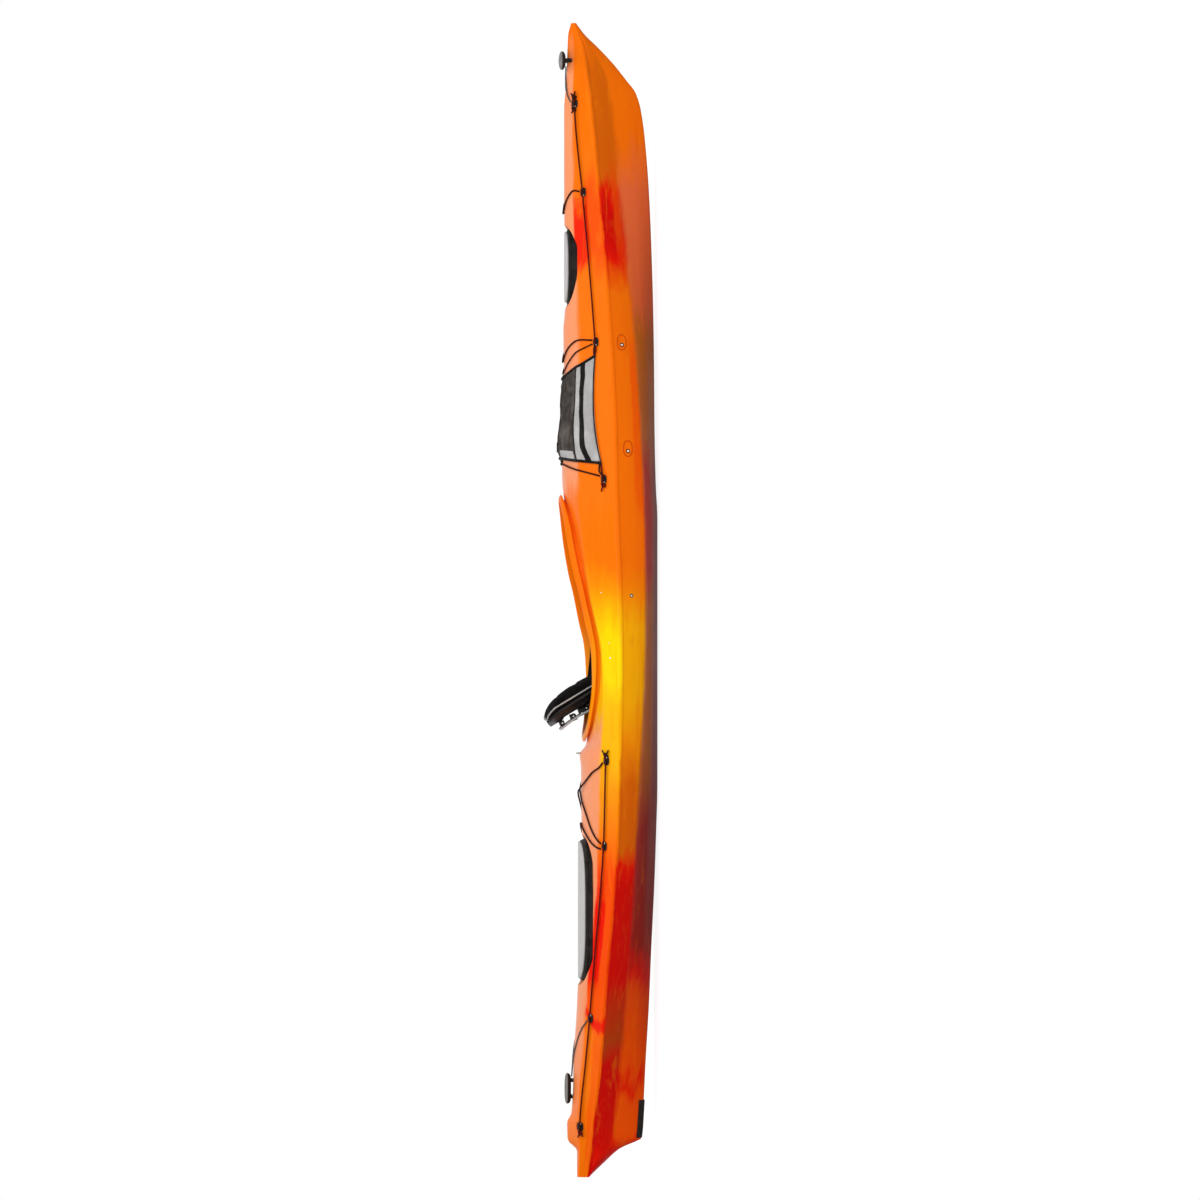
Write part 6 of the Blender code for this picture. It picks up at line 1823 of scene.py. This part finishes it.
# %% Finish the frame's own pieces
KEPT = {
    "seat_pan": NYLON, "backrest_frame": NYLON, "backrest_pin": STEEL, "security_eye": DULL_STEEL,
    "skid_plate": RUBBER, "bow_bulkhead": FOAM, "stern_bulkhead": FOAM,
}
for side, _ in SIDES:
    for name, finish in (("backrest_bracket", NYLON), ("thigh_brace", NYLON),
                         ("foot_pedal", NYLON), ("foot_brace_rail", ALUMINIUM),
                         ("seat_support", FOAM)):
        KEPT[f"{name}_{side}"] = finish
for node, finish in KEPT.items():
    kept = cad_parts[node]
    for place in kept.material_slots:
        place.material = finish
    if node not in ("backrest_pin", "security_eye"):
        bevel = kept.modifiers.new("soft_edges", "BEVEL")
        bevel.width, bevel.segments, bevel.limit_method = 0.0008, 2, "ANGLE"
        bevel.angle_limit = math.radians(40)
print("frame pieces finished:", len(KEPT))


# %% [markdown]
# ## Floor, light and camera
# The boat stands on its keel on a pale floor. The camera looks at its starboard side through a
# long lens, from a little above the gunwale, and is rolled so that the bow points up the picture.
# The light is soft and plain: a bright room, one wide lamp over the deck and another from the
# camera's side.

# %% Camera
TARGET = Vector((0.0, 0.0, 0.211))
TILT = math.radians(3)
DISTANCE, FOCAL = 42.0, 340.4

look = Vector((0, math.cos(TILT), -math.sin(TILT)))
up = Vector((1, 0, 0))
right = look.cross(up)
lens = bpy.data.cameras.new("studio_camera")
lens.lens = FOCAL
lens.clip_end = 200
camera = add_object("studio_camera", lens)
camera.matrix_world = Matrix((right, up, -look)).transposed().to_4x4()
camera.matrix_world.translation = TARGET - look * DISTANCE
bpy.context.scene.camera = camera


# %% Room and floor
def seen(tree):
    """1 for what the camera, a reflection or a refraction sees, 0 for light that bounces."""
    path = lay(tree, "ShaderNodeLightPath")
    sockets = path.node.outputs
    first = maths(tree, "MAXIMUM", sockets["Is Camera Ray"], sockets["Is Glossy Ray"])
    return maths(tree, "MAXIMUM", first, sockets["Is Transmission Ray"])


world = bpy.data.worlds.new("studio")
world.use_nodes = True
bpy.context.scene.world = world
tree = world.node_tree
tree.nodes.clear()
room = lay(tree, "ShaderNodeBackground", {"Color": (1, 1, 1, 1), "Strength": 0.42})
backdrop = lay(tree, "ShaderNodeBackground", {"Color": (1, 1, 1, 1), "Strength": 1.0})
both = lay(tree, "ShaderNodeMixShader", {0: seen(tree), 1: room, 2: backdrop})
tree.links.new(both, tree.nodes.new("ShaderNodeOutputWorld").inputs[0])

floor_mesh = skin("floor", [[(-40, -14, 0), (-40, 60, 0)], [(40, -14, 0), (40, 60, 0)]],
                  closed=False, caps=False)
floor = add_object("studio_floor", floor_mesh)
floor.location.z = -0.0008
paper = bpy.data.materials.new("pale_floor")
paper.use_nodes = True
tree = paper.node_tree
tree.nodes.clear()
plain = lay(tree, "ShaderNodeBsdfDiffuse", {"Color": (0.6, 0.6, 0.6, 1)})
shaded = lay(tree, "ShaderNodeBsdfDiffuse", {"Color": (0.3, 0.3, 0.3, 1)})
glow = lay(tree, "ShaderNodeEmission", {"Color": (1, 1, 1, 1), "Strength": 0.88})
pale = lay(tree, "ShaderNodeAddShader", {0: shaded, 1: glow})
surface = lay(tree, "ShaderNodeMixShader", {0: seen(tree), 1: plain, 2: pale})
tree.links.new(surface, tree.nodes.new("ShaderNodeOutputMaterial").inputs[0])
floor_mesh.materials.append(paper)


# %% Lamps
def soft_lamp(name, place, target, size, power):
    light = bpy.data.lights.new(name, "AREA")
    light.shape = "RECTANGLE"
    light.size, light.size_y = size
    light.energy = power
    lamp = add_object(name, light)
    lamp.location = place
    aim = Vector(target) - Vector(place)
    lamp.rotation_euler = aim.to_track_quat("-Z", "Y").to_euler()


soft_lamp("over_deck", (0.0, -1.2, 4.2), (0, 0, 0.2), (7.0, 2.0), 80)
soft_lamp("camera_side", (1.5, -7.0, 2.6), (0, 0, 0.15), (5.0, 3.0), 260)

bpy.context.scene.view_settings.view_transform = "Standard"
